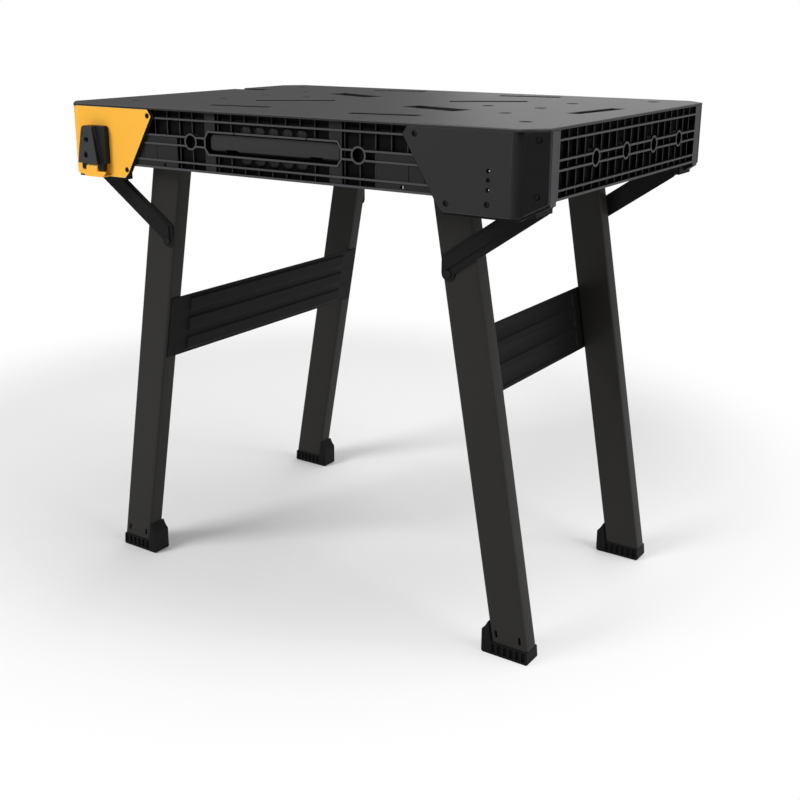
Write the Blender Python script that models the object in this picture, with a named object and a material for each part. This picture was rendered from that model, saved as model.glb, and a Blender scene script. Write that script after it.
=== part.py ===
"""Folding workbench: a ribbed plastic top on two pairs of splayed steel legs.

Metres, +Z up, front towards -Y. The origin is on the floor below the middle of the
bench's outline, latch included. Each pair of legs slides outwards as it folds in under
the top, and a strut on each leg holds it open.

Pieces are drawn for the rear right corner, where both X and Y are positive, and are
flipped to the other corners.
"""

import math
from dataclasses import dataclass

import bmesh
import bpy
from mathutils import Matrix, Vector

# Overall sizes
LENGTH = 0.880
DEPTH = 0.614
HEIGHT = 0.800
BODY_HEIGHT = 0.0955
CORNER_CUT = 0.030

# Clearances: between touching pieces, between a pin and its bearing, round a block
GAP = 0.0003
PIN_PLAY = 0.00005
SWING_GAP = 0.0005
ROUND_SIDES = 16
SHARP_ANGLE = math.radians(30.0)

# Deck: a thin rim over the side walls and a thicker panel inside them
RIM_THICKNESS = 0.004
PANEL_THICKNESS = 0.007
PANEL_CLEARANCE = 0.012
DECK_ROUNDING = 0.0015

# Deck: round dog holes, on a grid that starts at the middle pair
DOG_HOLE_RADIUS = 0.010
DOG_FIRST_X = 0.182
DOG_PITCH_X = 0.0925
DOG_MIDDLE_Y = 0.021
DOG_PITCH_Y = 0.114
DOG_PLACES = ((0, 0), (1, -1), (1, 0), (1, 1), (2, -2), (2, 2))

# Deck: slots for clamps, as middle, length, width and turn in degrees
CLAMP_SLOTS = (
    ((-0.141, 0.110), 0.125, 0.042, 20.0),
    ((0.141, -0.0715), 0.125, 0.042, 16.0),
    ((0.369, 0.0165), 0.130, 0.025, 98.0),
)
EDGE_SLOT_DEPTH = 0.070
EDGE_SLOT_LOW_Y = 0.125
EDGE_SLOT_HIGH_Y = 0.155

# Deck: shallow grooves that hold pipe and timber, from one end to the other
GROOVE_WIDTH = 0.027
GROOVE_DEPTH = 0.0035
GROOVES = (
    ((-0.195, -0.215), (-0.081, -0.196)),
    ((-0.198, -0.098), (-0.087, -0.022)),
    ((0.084, -0.221), (0.196, -0.2005)),
    ((-0.190, 0.241), (-0.090, 0.269)),
    ((0.084, 0.067), (0.192, 0.139)),
    ((0.083, 0.240), (0.192, 0.264)),
)

# Side walls: a lattice of level bars and set back ribs
FACE_SETBACK = 0.0065
SIDE_WALL = 0.0115
SIDE_POCKET = 0.009
END_WALL = 0.014
END_POCKET = 0.011
BAR_THICKNESS = 0.003
BAR_DROPS = (0.017, 0.043, 0.0565, 0.0823)
BOTTOM_BAR = 0.0035
RIB_PITCH = 0.0263
RIB_THICKNESS = 0.0022
RIB_SETBACK = 0.005
FLAT_SETBACK = 0.0015
PILASTER_MIDDLE = 0.1188
PILASTER_WIDTH = 0.021
FLAT_START = 0.1875
LATTICE_MARGIN = 0.010
END_LATTICE_MARGIN = 0.0535
END_RIB_MARGIN = 0.008

# Ring bosses between the two middle bars
RING_OUTER = 0.013
RING_INNER = 0.010
SIDE_RING_X = 0.158
END_RING_FIRST_Y = -0.135
END_RING_PITCH = 0.105
END_RING_COUNT = 4
END_RIBS_PER_RING = 4

# Carrying handle in the front wall
HANDLE_HALF_LENGTH = 0.130
HANDLE_CORNER_RUN = 0.0075
HANDLE_HALF_HEIGHT = 0.0188
HANDLE_SIDE_HALF_HEIGHT = 0.0083
HANDLE_RIM = 0.003
GRIP_END_GAP = 0.005
GRIP_EDGE_GAP = 0.0015
GRIP_ROUNDING = 0.009
GRIP_SETBACK = 0.006
GRIP_THICKNESS = 0.0095
GRIP_TONGUE_HALF_HEIGHT = 0.009
GRIP_PAD_LENGTH = 0.011
GRIP_CHAMFER_HEIGHT = 0.0045
GRIP_CHAMFER_DEPTH = 0.0035
GRIP_SCALLOP = 0.006
GRIP_SCALLOP_X = 0.080
GRIP_SCALLOP_HALF_LENGTH = 0.022

# Guard behind the handle, which keeps the hand clear of the folded legs
GUARD_THICKNESS = 0.002
GUARD_LEG_CLEARANCE = 0.0008
GUARD_END_GAP = 0.0015

# Corner plates and the housings behind them, seen from the front
PLATE_THICKNESS = 0.0035
PLATE_DROP = 0.115
PLATE_TOP_LENGTH = 0.1975
PLATE_KNEE_LENGTH = 0.2045
PLATE_KNEE_DROP = 0.015
PLATE_LOW_LENGTH = 0.148
PLATE_LOW_DROP = 0.1075
PLATE_FOOT_LENGTH = 0.140
PLATE_END_DROP = 0.0975
HOUSING_RIM = 0.0035
HOUSING_SLAB = 0.0024
HOUSING_BLOCK_LENGTH = 0.1397
CORNER_WALL = 0.005

# Legs: rectangular tubes, splayed to the ends only
SPLAY = math.radians(10.0)
FOLD = math.radians(100.0)
TUBE_WIDTH = 0.060
TUBE_DEPTH = 0.030
TUBE_WALL = 0.002
TUBE_INNER_ROUNDING = 0.002
TUBE_TOP = 0.024
LEG_MARGIN = 0.0185
NEST_GAP = 0.013
LEFT_FLOOR_INSET = 0.043
RIGHT_FLOOR_INSET = 0.023
LEFT_PIVOT_DROP = 0.0625
RIGHT_PIVOT_DROP = 0.0725

# Feet
FOOT_LENGTH = 0.080
FOOT_PROUD = 0.002
FOOT_HEIGHT = 0.0212
FOOT_INSET = 0.0017
FOOT_LUG_LOW = 0.044
FOOT_LUG_HIGH = 0.055
FOOT_LUG_SLOPE = 0.005
FOOT_CHAMFER = 0.0025
FOOT_PLUG_HEIGHT = 0.060

# Cross panels: a beaded sheet on the inner faces of each pair of legs
PANEL_LOW = 0.377
PANEL_HIGH = 0.4834
SHEET_THICKNESS = 0.0015
SHEET_SIDE_MARGIN = 0.001
BEAD_COUNT = 3
BEAD_HEIGHT = 0.003
BEAD_WIDTH = 0.020
BEAD_SLOPE = 0.003

# Struts: pressed bands from the legs up to the ends of the body
STRUT_ANGLE = math.radians(34.5)
STRUT_WIDTH = 0.033
STRUT_SHEET = 0.0025
STRUT_DEPTH = 0.005
STRUT_PIN_BELOW_TOP = 0.2168
STRUT_PIN_INSET = 0.011
STRUT_PIN_DROP = 0.011
STRUT_TAB_RADIUS = 0.011
STRUT_TOP_INSET = 0.0325
STRUT_RIB_LOW = 0.0115
STRUT_RIB_HIGH = 0.0045
STRUT_RIB_END = 0.006
STRUT_PIN_RADIUS = 0.004
STRUT_PIN_HEAD_RADIUS = 0.0065
STRUT_PIN_HEAD = 0.0025
STRUT_RIVET_RADIUS = 0.0055
STRUT_RIVET_HEAD = 0.0016
STRUT_PIN_SEAT = 0.015
PIVOT_BLOCK_BACK = 0.010
PIVOT_BLOCK_DROP = 0.0095
PIVOT_BLOCK_TOP = 0.004

# Guide tracks under the deck, their glide shoes and the leg pivots
TRACK_WEB = 0.003
TRACK_FLANGE = 0.015
TRACK_FLANGE_THICKNESS = 0.002
TRACK_DROP = 0.018
TRACK_END = 0.022
SHOE_CORE = 0.016
SHOE_FLANGE_SIZE = 0.024
SHOE_INNER_FLANGE = 0.002
SHOE_OUTER_FLANGE = 0.0019
LEG_PIN_RADIUS = 0.005
LEG_PIN_HEAD_RADIUS = 0.008
LEG_PIN_HEAD = 0.0015

# Latch on the front left plate
LATCH_INNER_LENGTH = 0.110
LATCH_TOP_LENGTH = 0.066
LATCH_LOW_LENGTH = 0.0556
LATCH_HEIGHT = 0.0675
LATCH_DEPTH = 0.0207
LATCH_SLAB = 0.0105
LATCH_RIDGE_TOP = 0.018
LATCH_RIDGE_LOW = 0.0092
LATCH_HINGE_DROP = 0.101
LATCH_HINGE_OUT = 0.0105
LATCH_EAR_RADIUS = 0.0045
LATCH_EAR_WIDTH = 0.012
LATCH_EAR_INSET = 0.0027
LATCH_KNUCKLE_RADIUS = 0.0068
LATCH_BODY_START = 0.0072
LATCH_PIN_RADIUS = 0.003
LATCH_LIP_THICKNESS = 0.003
LATCH_HOOD_WALL = 0.0012
LATCH_HOOD_DROP = 0.005
LATCH_HOOD_FLARE = 0.006
LATCH_HOOD_INSET = 0.003
LATCH_HOOD_SLOPE = 0.009
LATCH_ROUNDING = 0.005
KNUCKLE_END = 150.0

# Planes and places that follow from the sizes above
HALF_LENGTH = LENGTH / 2
HALF_DEPTH = DEPTH / 2
DECK_UNDERSIDE = HEIGHT - RIM_THICKNESS
PANEL_UNDERSIDE = DECK_UNDERSIDE - PANEL_THICKNESS
BODY_TOP = DECK_UNDERSIDE - GAP
BODY_BOTTOM = HEIGHT - BODY_HEIGHT
FACE_Y = HALF_DEPTH - FACE_SETBACK
WALL_Y = FACE_Y - SIDE_WALL
WALL_X = HALF_LENGTH - END_WALL
END_LATTICE_Y = HALF_DEPTH - END_LATTICE_MARGIN
HOUSING_FRONT = HALF_DEPTH - PLATE_THICKNESS - GAP
HOUSING_BACK = HOUSING_FRONT - HOUSING_SLAB
BLOCK_X = HALF_LENGTH - HOUSING_BLOCK_LENGTH
BAR_HEIGHTS = tuple(HEIGHT - drop for drop in BAR_DROPS)
HANDLE_HEIGHT = (BAR_HEIGHTS[1] + BAR_HEIGHTS[2]) / 2
HANDLE_TOP_HALF_LENGTH = HANDLE_HALF_LENGTH - HANDLE_CORNER_RUN
GRIP_HALF_LENGTH = HANDLE_HALF_LENGTH - HANDLE_RIM - GRIP_END_GAP
GRIP_HALF_HEIGHT = HANDLE_HALF_HEIGHT - HANDLE_RIM - GRIP_EDGE_GAP
STRUT_PIN_HEIGHT = HEIGHT - STRUT_PIN_BELOW_TOP
LATCH_HINGE_Y = HALF_DEPTH + LATCH_HINGE_OUT
LATCH_HINGE_Z = HEIGHT - LATCH_HINGE_DROP
LATCH_REACH = GAP + LATCH_DEPTH
FRONT_SHIFT = LATCH_REACH / 2

ENDS = {"front": -1, "rear": 1}


@dataclass(frozen=True)
class Finish:
    """A named surface: base colour, roughness and metallic value."""

    name: str
    colour: tuple
    roughness: float
    metallic: float = 0.0

    def material(self):
        """Return the Principled material of this finish."""
        made = bpy.data.materials.get(self.name)
        if made is None:
            made = bpy.data.materials.new(self.name)
            made.use_nodes = True
            shader = made.node_tree.nodes["Principled BSDF"]
            shader.inputs["Base Color"].default_value = (*self.colour, 1.0)
            shader.inputs["Roughness"].default_value = self.roughness
            shader.inputs["Metallic"].default_value = self.metallic
        return made


DECK_PLASTIC = Finish("charcoal_polypropylene", (0.045, 0.046, 0.048), 0.62)
WALL_PLASTIC = Finish("black_polypropylene", (0.030, 0.030, 0.031), 0.55)
YELLOW_PLASTIC = Finish("yellow_abs", (0.93, 0.47, 0.045), 0.45)
LEG_STEEL = Finish("black_powder_coated_steel", (0.012, 0.012, 0.012), 0.48, 0.0)
STRUT_STEEL = Finish("black_pressed_steel", (0.014, 0.014, 0.014), 0.42, 0.0)
PIN_STEEL = Finish("zinc_plated_steel", (0.45, 0.45, 0.46), 0.35, 1.0)
FOOT_RUBBER = Finish("black_rubber", (0.010, 0.010, 0.010), 0.80)
GLIDE_NYLON = Finish("black_nylon", (0.020, 0.020, 0.020), 0.50)


class Pivot:
    """An empty that pieces are attached to, with its own place in the bench's frame."""

    def __init__(self, name, point, parent=None):
        self.point = Vector(point)
        self.empty = bpy.data.objects.new(name, None)
        bpy.context.scene.collection.objects.link(self.empty)
        self.empty.location = self.point
        if parent is not None:
            self.empty.parent = parent.empty
            self.empty.location = self.point - parent.point

    def attach(self, name, bm, finish=None):
        """Make an object of a mesh drawn in the bench's frame; no finish makes a cutter."""
        bmesh.ops.translate(bm, vec=-self.point, verts=bm.verts)
        mesh = bpy.data.meshes.new(name)
        bm.to_mesh(mesh)
        bm.free()
        piece = bpy.data.objects.new(name, mesh)
        bpy.context.scene.collection.objects.link(piece)
        piece.parent = self.empty
        if finish is None:
            piece.hide_render = True
            piece.display_type = "WIRE"
        else:
            mesh.materials.append(finish.material())
            mesh.shade_smooth()
            mesh.set_sharp_from_angle(angle=SHARP_ANGLE)
        return piece


@dataclass(frozen=True)
class LegPair:
    """One pair of legs with its struts: the tubes' places and how they fold."""

    name: str
    side: int
    floor_edge: float
    outer_face: float
    pivot_height: float

    def centre_x(self, height):
        """Distance of the tubes' centreline from the middle of the bench."""
        return self.floor_edge - TUBE_WIDTH / 2 / math.cos(SPLAY) - height * math.tan(SPLAY)

    def inner_x(self, height):
        """Distance of the tubes' inner edge from the middle of the bench."""
        return self.centre_x(height) - TUBE_WIDTH / 2 / math.cos(SPLAY)

    @property
    def inner_face(self):
        """Inner faces of the tubes, across the bench."""
        return self.outer_face - TUBE_DEPTH

    @property
    def top_pivot(self):
        """Where the glide shoe holds the leg, in X and Z."""
        return Vector((self.centre_x(self.pivot_height), self.pivot_height))

    @property
    def strut_foot(self):
        """Lower pin of the strut, on the leg's face."""
        inner = self.inner_x(STRUT_PIN_HEIGHT)
        return Vector((inner + STRUT_PIN_INSET, STRUT_PIN_HEIGHT))

    @property
    def strut_top(self):
        """Upper pin of the strut, on the corner housing."""
        foot = self.strut_foot
        x = HALF_LENGTH - STRUT_TOP_INSET
        rise = STRUT_PIN_DROP / math.cos(STRUT_ANGLE) + (x - foot.x) * math.tan(STRUT_ANGLE)
        return Vector((x, foot.y + rise))

    @property
    def strut_face(self):
        """Inner face of the strut, across the bench."""
        return self.outer_face + GAP

    @property
    def block_face(self):
        """Face of the housing's pivot block, which the strut swings past."""
        return self.strut_face + STRUT_DEPTH + SWING_GAP

    @property
    def web_outer(self):
        """Outer face of the guide track's web, across the bench."""
        return self.inner_face - GAP - SHOE_OUTER_FLANGE - GAP

    def folded(self):
        """Return the slide of the shoes and the turn of the struts at the full fold."""
        top = self.top_pivot
        foot = self.strut_foot
        upper = self.strut_top
        down = Vector((math.sin(SPLAY), -math.cos(SPLAY)))
        inward = Vector((-math.cos(SPLAY), -math.sin(SPLAY)))
        along = (foot - top).dot(down)
        across = (foot - top).dot(inward)
        turn = Matrix.Rotation(-FOLD, 2)
        offset = along * (turn @ down) + across * (turn @ inward)
        rise = top.y + offset.y - upper.y
        run = math.sqrt((upper - foot).length_squared - rise * rise)
        slide = upper.x - run - offset.x - top.x
        rest_angle = math.atan2(upper.y - foot.y, upper.x - foot.x)
        return slide, rest_angle - math.atan2(-rise, run)


RIGHT_OUTER_FACE = WALL_Y - LEG_MARGIN - TUBE_DEPTH - NEST_GAP
LEGS = (
    LegPair("left", -1, HALF_LENGTH - LEFT_FLOOR_INSET, WALL_Y - LEG_MARGIN,
            HEIGHT - LEFT_PIVOT_DROP),
    LegPair("right", 1, HALF_LENGTH - RIGHT_FLOOR_INSET, RIGHT_OUTER_FACE,
            HEIGHT - RIGHT_PIVOT_DROP),
)


def clear_scene():
    """Remove every object of the scene."""
    for old in list(bpy.data.objects):
        bpy.data.objects.remove(old, do_unlink=True)


def prism(outline, low, high, axis="Z"):
    """Return a closed solid: an outline carried from low to high along one axis.

    The outline's two coordinates are the other two axes, in the order X, Y, Z.
    """
    order = {"X": (2, 0, 1), "Y": (0, 2, 1), "Z": (0, 1, 2)}[axis]
    bm = bmesh.new()
    corners = []
    for first, second in outline:
        values = (first, second, low)
        corners.append(bm.verts.new([values[index] for index in order]))
    grown = bmesh.ops.extrude_face_region(bm, geom=[bm.faces.new(corners)])
    moved = [item for item in grown["geom"] if isinstance(item, bmesh.types.BMVert)]
    step = (0.0, 0.0, high - low)
    bmesh.ops.translate(bm, vec=[step[index] for index in order], verts=moved)
    bmesh.ops.recalc_face_normals(bm, faces=bm.faces)
    return bm


def box(x_range, y_range, z_range):
    """Return a closed box."""
    (x_low, x_high), (y_low, y_high) = x_range, y_range
    outline = ((x_low, y_low), (x_high, y_low), (x_high, y_high), (x_low, y_high))
    return prism(outline, *z_range)


def arc(centre, radius, start, end, steps):
    """Return points along an arc, both ends included; angles in degrees."""
    points = []
    for step in range(steps + 1):
        angle = math.radians(start + (end - start) * step / steps)
        points.append((centre[0] + radius * math.cos(angle), centre[1] + radius * math.sin(angle)))
    return points


def circle(centre, radius, sides=ROUND_SIDES):
    """Return a closed round outline."""
    return arc(centre, radius, 0.0, 360.0, sides)[:-1]


def bore(radius, play):
    """Return the corner radius of a round hole whose flats clear a pin by the play."""
    return (radius + play) / math.cos(math.pi / ROUND_SIDES)


def rounded_box_outline(half_width, half_height, radius, steps=3):
    """Return a rectangle about the origin with rounded corners."""
    points = []
    corners = ((1, 1, 0), (-1, 1, 90), (-1, -1, 180), (1, -1, 270))
    for x_sign, y_sign, start in corners:
        centre = (x_sign * (half_width - radius), y_sign * (half_height - radius))
        points += arc(centre, radius, start, start + 90, steps)
    return points


def turned_box_outline(middle, length, width, degrees):
    """Return a rectangle about a middle, turned in its plane."""
    turn = Matrix.Rotation(math.radians(degrees), 2)
    points = []
    for x_sign, y_sign in ((1, 1), (-1, 1), (-1, -1), (1, -1)):
        corner = turn @ Vector((x_sign * length / 2, y_sign * width / 2))
        points.append((middle[0] + corner.x, middle[1] + corner.y))
    return points


def joined(solids):
    """Return several solids as one mesh, each still a closed body."""
    whole = bmesh.new()
    for solid in solids:
        scratch = bpy.data.meshes.new("scratch")
        solid.to_mesh(scratch)
        solid.free()
        whole.from_mesh(scratch)
        bpy.data.meshes.remove(scratch)
    return whole


def flipped(bm, side, end=1):
    """Flip a solid of the rear right corner to the side and the end that are asked."""
    bmesh.ops.scale(bm, vec=(side, end, 1), verts=bm.verts)
    if side * end < 0:
        bmesh.ops.reverse_faces(bm, faces=bm.faces)
    return bm


def boolean(piece, tool, operation):
    """Give a piece a Boolean modifier with a hidden tool."""
    modifier = piece.modifiers.new(tool.name, "BOOLEAN")
    modifier.operation = operation
    modifier.solver = "EXACT"
    modifier.object = tool


def bevel_edges(bm, chosen, width, segments=2):
    """Round the chosen edges of a solid."""
    bmesh.ops.bevel(bm, geom=chosen, offset=width, segments=segments, profile=0.5,
                    affect="EDGES", clamp_overlap=True)


def cut_corners_outline(half_length, half_depth, cut):
    """Return the bench's outline in plan, a rectangle with its corners cut off."""
    x, y = half_length, half_depth
    return ((x, cut - y), (x, y - cut), (x - cut, y), (cut - x, y),
            (-x, y - cut), (-x, cut - y), (cut - x, -y), (x - cut, -y))


def make_deck(bench):
    """Make the top: a rim on the walls, a panel inside them, holes, slots and grooves."""
    rim = prism(cut_corners_outline(HALF_LENGTH, HALF_DEPTH, CORNER_CUT), DECK_UNDERSIDE, HEIGHT)
    top_edges = [edge for edge in rim.edges
                 if all(vert.co.z > HEIGHT - GAP for vert in edge.verts)]
    bevel_edges(rim, top_edges, DECK_ROUNDING)
    deck = bench.attach("top_deck", rim, DECK_PLASTIC)

    panel_x = WALL_X - PANEL_CLEARANCE
    panel_y = WALL_Y - PANEL_CLEARANCE
    panel_outline = cut_corners_outline(panel_x, panel_y, CORNER_CUT)
    panel = prism(panel_outline, PANEL_UNDERSIDE, HEIGHT - RIM_THICKNESS / 2)
    boolean(deck, bench.attach("deck_panel_shape", panel), "UNION")

    below = PANEL_UNDERSIDE - RIM_THICKNESS
    above = HEIGHT + RIM_THICKNESS
    cutters = []
    for side in (-1, 1):
        for column, row in DOG_PLACES:
            middle = (side * (DOG_FIRST_X + column * DOG_PITCH_X),
                      DOG_MIDDLE_Y + row * DOG_PITCH_Y)
            cutters.append(prism(circle(middle, DOG_HOLE_RADIUS), below, above))
    for middle, length, width, degrees in CLAMP_SLOTS:
        cutters.append(prism(turned_box_outline(middle, length, width, -degrees), below, above))
    edge_slot = ((-HALF_LENGTH - RIM_THICKNESS, EDGE_SLOT_LOW_Y),
                 (EDGE_SLOT_DEPTH - HALF_LENGTH, EDGE_SLOT_LOW_Y),
                 (EDGE_SLOT_DEPTH - HALF_LENGTH, EDGE_SLOT_HIGH_Y),
                 (-HALF_LENGTH - RIM_THICKNESS, EDGE_SLOT_HIGH_Y))
    cutters.append(prism(edge_slot, HEIGHT - GROOVE_DEPTH, above))
    for start, end in GROOVES:
        run = Vector(end) - Vector(start)
        middle = (Vector(start) + Vector(end)) / 2
        degrees = math.degrees(math.atan2(run.y, run.x))
        outline = turned_box_outline(middle, run.length, GROOVE_WIDTH, degrees)
        cutters.append(prism(outline, HEIGHT - GROOVE_DEPTH, above))
    boolean(deck, bench.attach("deck_cutters", joined(cutters)), "DIFFERENCE")


def lattice_rows():
    """Return the five rows of pockets between the bars, top first, as low and high."""
    half_bar = BAR_THICKNESS / 2
    highs = [BODY_TOP + BAR_THICKNESS] + [bar - half_bar for bar in BAR_HEIGHTS]
    lows = [bar + half_bar for bar in BAR_HEIGHTS] + [BODY_BOTTOM + BOTTOM_BAR]
    return list(zip(lows, highs))


def comb_outline(start, end, face, floor, teeth):
    """Return the plan of one row of pockets, notched for its ribs.

    Each tooth is the low end, the high end and the setback of a rib or a flat.
    """
    spans = []
    reached = start
    for low, high, setback in sorted(teeth):
        if low > reached:
            spans.append((reached, low, floor))
        spans.append((low, high, face - setback))
        reached = high
    if reached < end:
        spans.append((reached, end, floor))
    outside = face + BAR_THICKNESS
    points = [(start, outside)]
    for low, high, depth in spans:
        points += [(low, depth), (high, depth)]
    return points + [(end, outside)]


def rib_teeth(places, flats):
    """Return the teeth of one row: its flats, and a rib at each place outside them."""
    teeth = [(low, high, FLAT_SETBACK) for low, high in flats]
    half = RIB_THICKNESS / 2
    for place in places:
        if all(place + half < low or place - half > high for low, high in flats):
            teeth.append((place - half, place + half, RIB_SETBACK))
    return teeth


def ring_shapes(places, radius, low, high, axis):
    """Return round solids at the height of the ring bosses."""
    return [prism(circle((place, HANDLE_HEIGHT), radius), low, high, axis) for place in places]


def handle_outline(shrink):
    """Return the eight-cornered outline of the handle's opening, seen from the front."""
    length = HANDLE_HALF_LENGTH - shrink
    top_length = HANDLE_TOP_HALF_LENGTH - shrink / 2
    height = HANDLE_HALF_HEIGHT - shrink
    side_height = HANDLE_SIDE_HALF_HEIGHT - shrink / 2
    quarter = ((length, side_height), (top_length, height))
    points = [(x, HANDLE_HEIGHT + z) for x, z in quarter]
    points += [(-x, HANDLE_HEIGHT + z) for x, z in reversed(quarter)]
    points += [(-x, HANDLE_HEIGHT - z) for x, z in quarter]
    points += [(x, HANDLE_HEIGHT - z) for x, z in reversed(quarter)]
    return points


def make_side_rail(bench, name, end, has_handle):
    """Make the front or the rear wall, a lattice between the corner housings."""
    rail_end = BLOCK_X - GAP
    lattice_end = rail_end - LATTICE_MARGIN
    floor = FACE_Y - SIDE_POCKET
    outside = FACE_Y + BAR_THICKNESS
    rib_count = int((lattice_end - RIB_THICKNESS) / RIB_PITCH)
    places = [index * RIB_PITCH for index in range(-rib_count, rib_count + 1)]
    pilaster = (PILASTER_MIDDLE - PILASTER_WIDTH / 2, PILASTER_MIDDLE + PILASTER_WIDTH / 2)
    pilasters = [pilaster, (-pilaster[1], -pilaster[0])]
    wide = [(FLAT_START, lattice_end), (-lattice_end, -FLAT_START)]
    rows = []
    for index, (low, high) in enumerate(lattice_rows()):
        flats = pilasters + (wide if index > 1 else [])
        outline = comb_outline(-lattice_end, lattice_end, FACE_Y, floor, rib_teeth(places, flats))
        rows.append(prism(outline, low, high))
    block = box((-rail_end, rail_end), (WALL_Y, FACE_Y), (BODY_BOTTOM, BODY_TOP))
    rail = bench.attach(name, flipped(block, 1, end), WALL_PLASTIC)

    rings = (-SIDE_RING_X, SIDE_RING_X)
    guards = ring_shapes(rings, RING_OUTER, floor - GAP, outside + GAP, "Y")
    holes = ring_shapes(rings, RING_INNER, floor, outside, "Y")
    if has_handle:
        guards.append(prism(handle_outline(0.0), floor - GAP, outside + GAP, "Y"))
        holes.append(prism(handle_outline(HANDLE_RIM), WALL_Y - GAP, outside, "Y"))
    pockets = bench.attach(name + "_pockets", flipped(joined(rows), 1, end))
    boolean(pockets, bench.attach(name + "_guards", flipped(joined(guards), 1, end)), "DIFFERENCE")
    boolean(rail, pockets, "DIFFERENCE")
    boolean(rail, bench.attach(name + "_holes", flipped(joined(holes), 1, end)), "DIFFERENCE")


def make_end_rail(bench, name, side):
    """Make the left or the right wall, a lattice with ring bosses."""
    span = END_LATTICE_Y - END_RIB_MARGIN / 2
    floor = HALF_LENGTH - END_POCKET
    outside = HALF_LENGTH + BAR_THICKNESS
    pitch = END_RING_PITCH / END_RIBS_PER_RING
    low_index = math.ceil((END_RIB_MARGIN - span - END_RING_FIRST_Y) / pitch)
    high_index = math.floor((span - END_RIB_MARGIN - END_RING_FIRST_Y) / pitch)
    places = [END_RING_FIRST_Y + index * pitch for index in range(low_index, high_index + 1)]
    teeth = rib_teeth(places, [])
    rows = []
    for low, high in lattice_rows():
        plan = comb_outline(-span, span, HALF_LENGTH, floor, teeth)
        rows.append(prism([(x, y) for y, x in plan], low, high))
    block = box((WALL_X, HALF_LENGTH), (-END_LATTICE_Y, END_LATTICE_Y), (BODY_BOTTOM, BODY_TOP))
    rail = bench.attach(name, flipped(block, side), WALL_PLASTIC)

    rings = [END_RING_FIRST_Y + index * END_RING_PITCH for index in range(END_RING_COUNT)]
    guards = ring_shapes(rings, RING_OUTER, floor - GAP, outside + GAP, "X")
    holes = ring_shapes(rings, RING_INNER, floor, outside, "X")
    pockets = bench.attach(name + "_pockets", flipped(joined(rows), side))
    boolean(pockets, bench.attach(name + "_guards", flipped(joined(guards), side)), "DIFFERENCE")
    boolean(rail, pockets, "DIFFERENCE")
    boolean(rail, bench.attach(name + "_holes", flipped(joined(holes), side)), "DIFFERENCE")


def make_grip(bench):
    """Make the grip bar of the carrying handle, held behind the front wall at both ends."""
    front = FACE_Y - GRIP_SETBACK
    back = front - GRIP_THICKNESS
    bar_points = []
    for x, z in rounded_box_outline(GRIP_HALF_LENGTH, GRIP_HALF_HEIGHT, GRIP_ROUNDING):
        bar_points.append((x, HANDLE_HEIGHT + z))
    bar = bench.attach("handle_grip", flipped(prism(bar_points, back, front, "Y"), 1, -1),
                       WALL_PLASTIC)
    scallops = []
    pads = []
    low = HANDLE_HEIGHT - GRIP_HALF_HEIGHT
    for side in (-1, 1):
        middle = side * GRIP_SCALLOP_X
        outline = ((middle - GRIP_SCALLOP_HALF_LENGTH, low - GRIP_SCALLOP),
                   (middle + GRIP_SCALLOP_HALF_LENGTH, low - GRIP_SCALLOP),
                   (middle + GRIP_SCALLOP_HALF_LENGTH / 2, low + GRIP_SCALLOP),
                   (middle - GRIP_SCALLOP_HALF_LENGTH / 2, low + GRIP_SCALLOP))
        scallops.append(prism(outline, back - GAP, front + GAP, "Y"))
        tongue = box((GRIP_HALF_LENGTH - GRIP_ROUNDING, HANDLE_HALF_LENGTH + GRIP_PAD_LENGTH),
                     (back, WALL_Y - GAP),
                     (HANDLE_HEIGHT - GRIP_TONGUE_HALF_HEIGHT,
                      HANDLE_HEIGHT + GRIP_TONGUE_HALF_HEIGHT))
        pads.append(flipped(tongue, side))
    chamfer = ((front - GRIP_CHAMFER_DEPTH, low), (front, low + GRIP_CHAMFER_HEIGHT),
               (front + GAP, low + GRIP_CHAMFER_HEIGHT), (front + GAP, low - GAP),
               (front - GRIP_CHAMFER_DEPTH, low - GAP))
    edge = prism(chamfer, -HANDLE_HALF_LENGTH, HANDLE_HALF_LENGTH, "X")
    boolean(bar, bench.attach("grip_chamfer", flipped(edge, 1, -1)), "DIFFERENCE")
    boolean(bar, bench.attach("grip_scallops", flipped(joined(scallops), 1, -1)), "DIFFERENCE")
    boolean(bar, bench.attach("grip_pads", flipped(joined(pads), 1, -1)), "UNION")


def make_guard(bench, folded_legs):
    """Make the guard behind the handle: a sheet past the folded legs, with a wall at each end."""
    back = folded_legs.outer_face + GUARD_LEG_CLEARANCE
    front = back + GUARD_THICKNESS
    inner = HANDLE_HALF_LENGTH + GRIP_PAD_LENGTH + GUARD_END_GAP
    outer = inner + GUARD_THICKNESS
    plan = ((-outer, back), (outer, back), (outer, WALL_Y - GAP), (inner, WALL_Y - GAP),
            (inner, front), (-inner, front), (-inner, WALL_Y - GAP), (-outer, WALL_Y - GAP))
    sheet = prism(plan, BODY_BOTTOM, PANEL_UNDERSIDE - GAP)
    bench.attach("handle_guard", flipped(sheet, 1, -1), WALL_PLASTIC)


def plate_outline(grow):
    """Return the corner plate's outline seen from the front, grown by a margin.

    It runs past the top and the end, where the solid that it cuts stops by itself.
    """
    x = HALF_LENGTH
    z = HEIGHT
    beyond = x + CORNER_CUT
    return ((x - PLATE_TOP_LENGTH - grow, z), (x - PLATE_TOP_LENGTH - grow, BODY_TOP),
            (x - PLATE_KNEE_LENGTH - grow, z - PLATE_KNEE_DROP),
            (x - PLATE_LOW_LENGTH - grow, z - PLATE_LOW_DROP),
            (x - PLATE_FOOT_LENGTH - grow / 2, z - PLATE_DROP - grow),
            (x - CORNER_CUT, z - PLATE_DROP - grow),
            (x, z - PLATE_END_DROP - grow), (beyond, z - PLATE_END_DROP - grow), (beyond, z))


def corner_sum(setback):
    """Return X plus Y along the cut corner, set back by a distance."""
    return HALF_LENGTH + HALF_DEPTH - CORNER_CUT - setback * math.sqrt(2)


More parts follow.
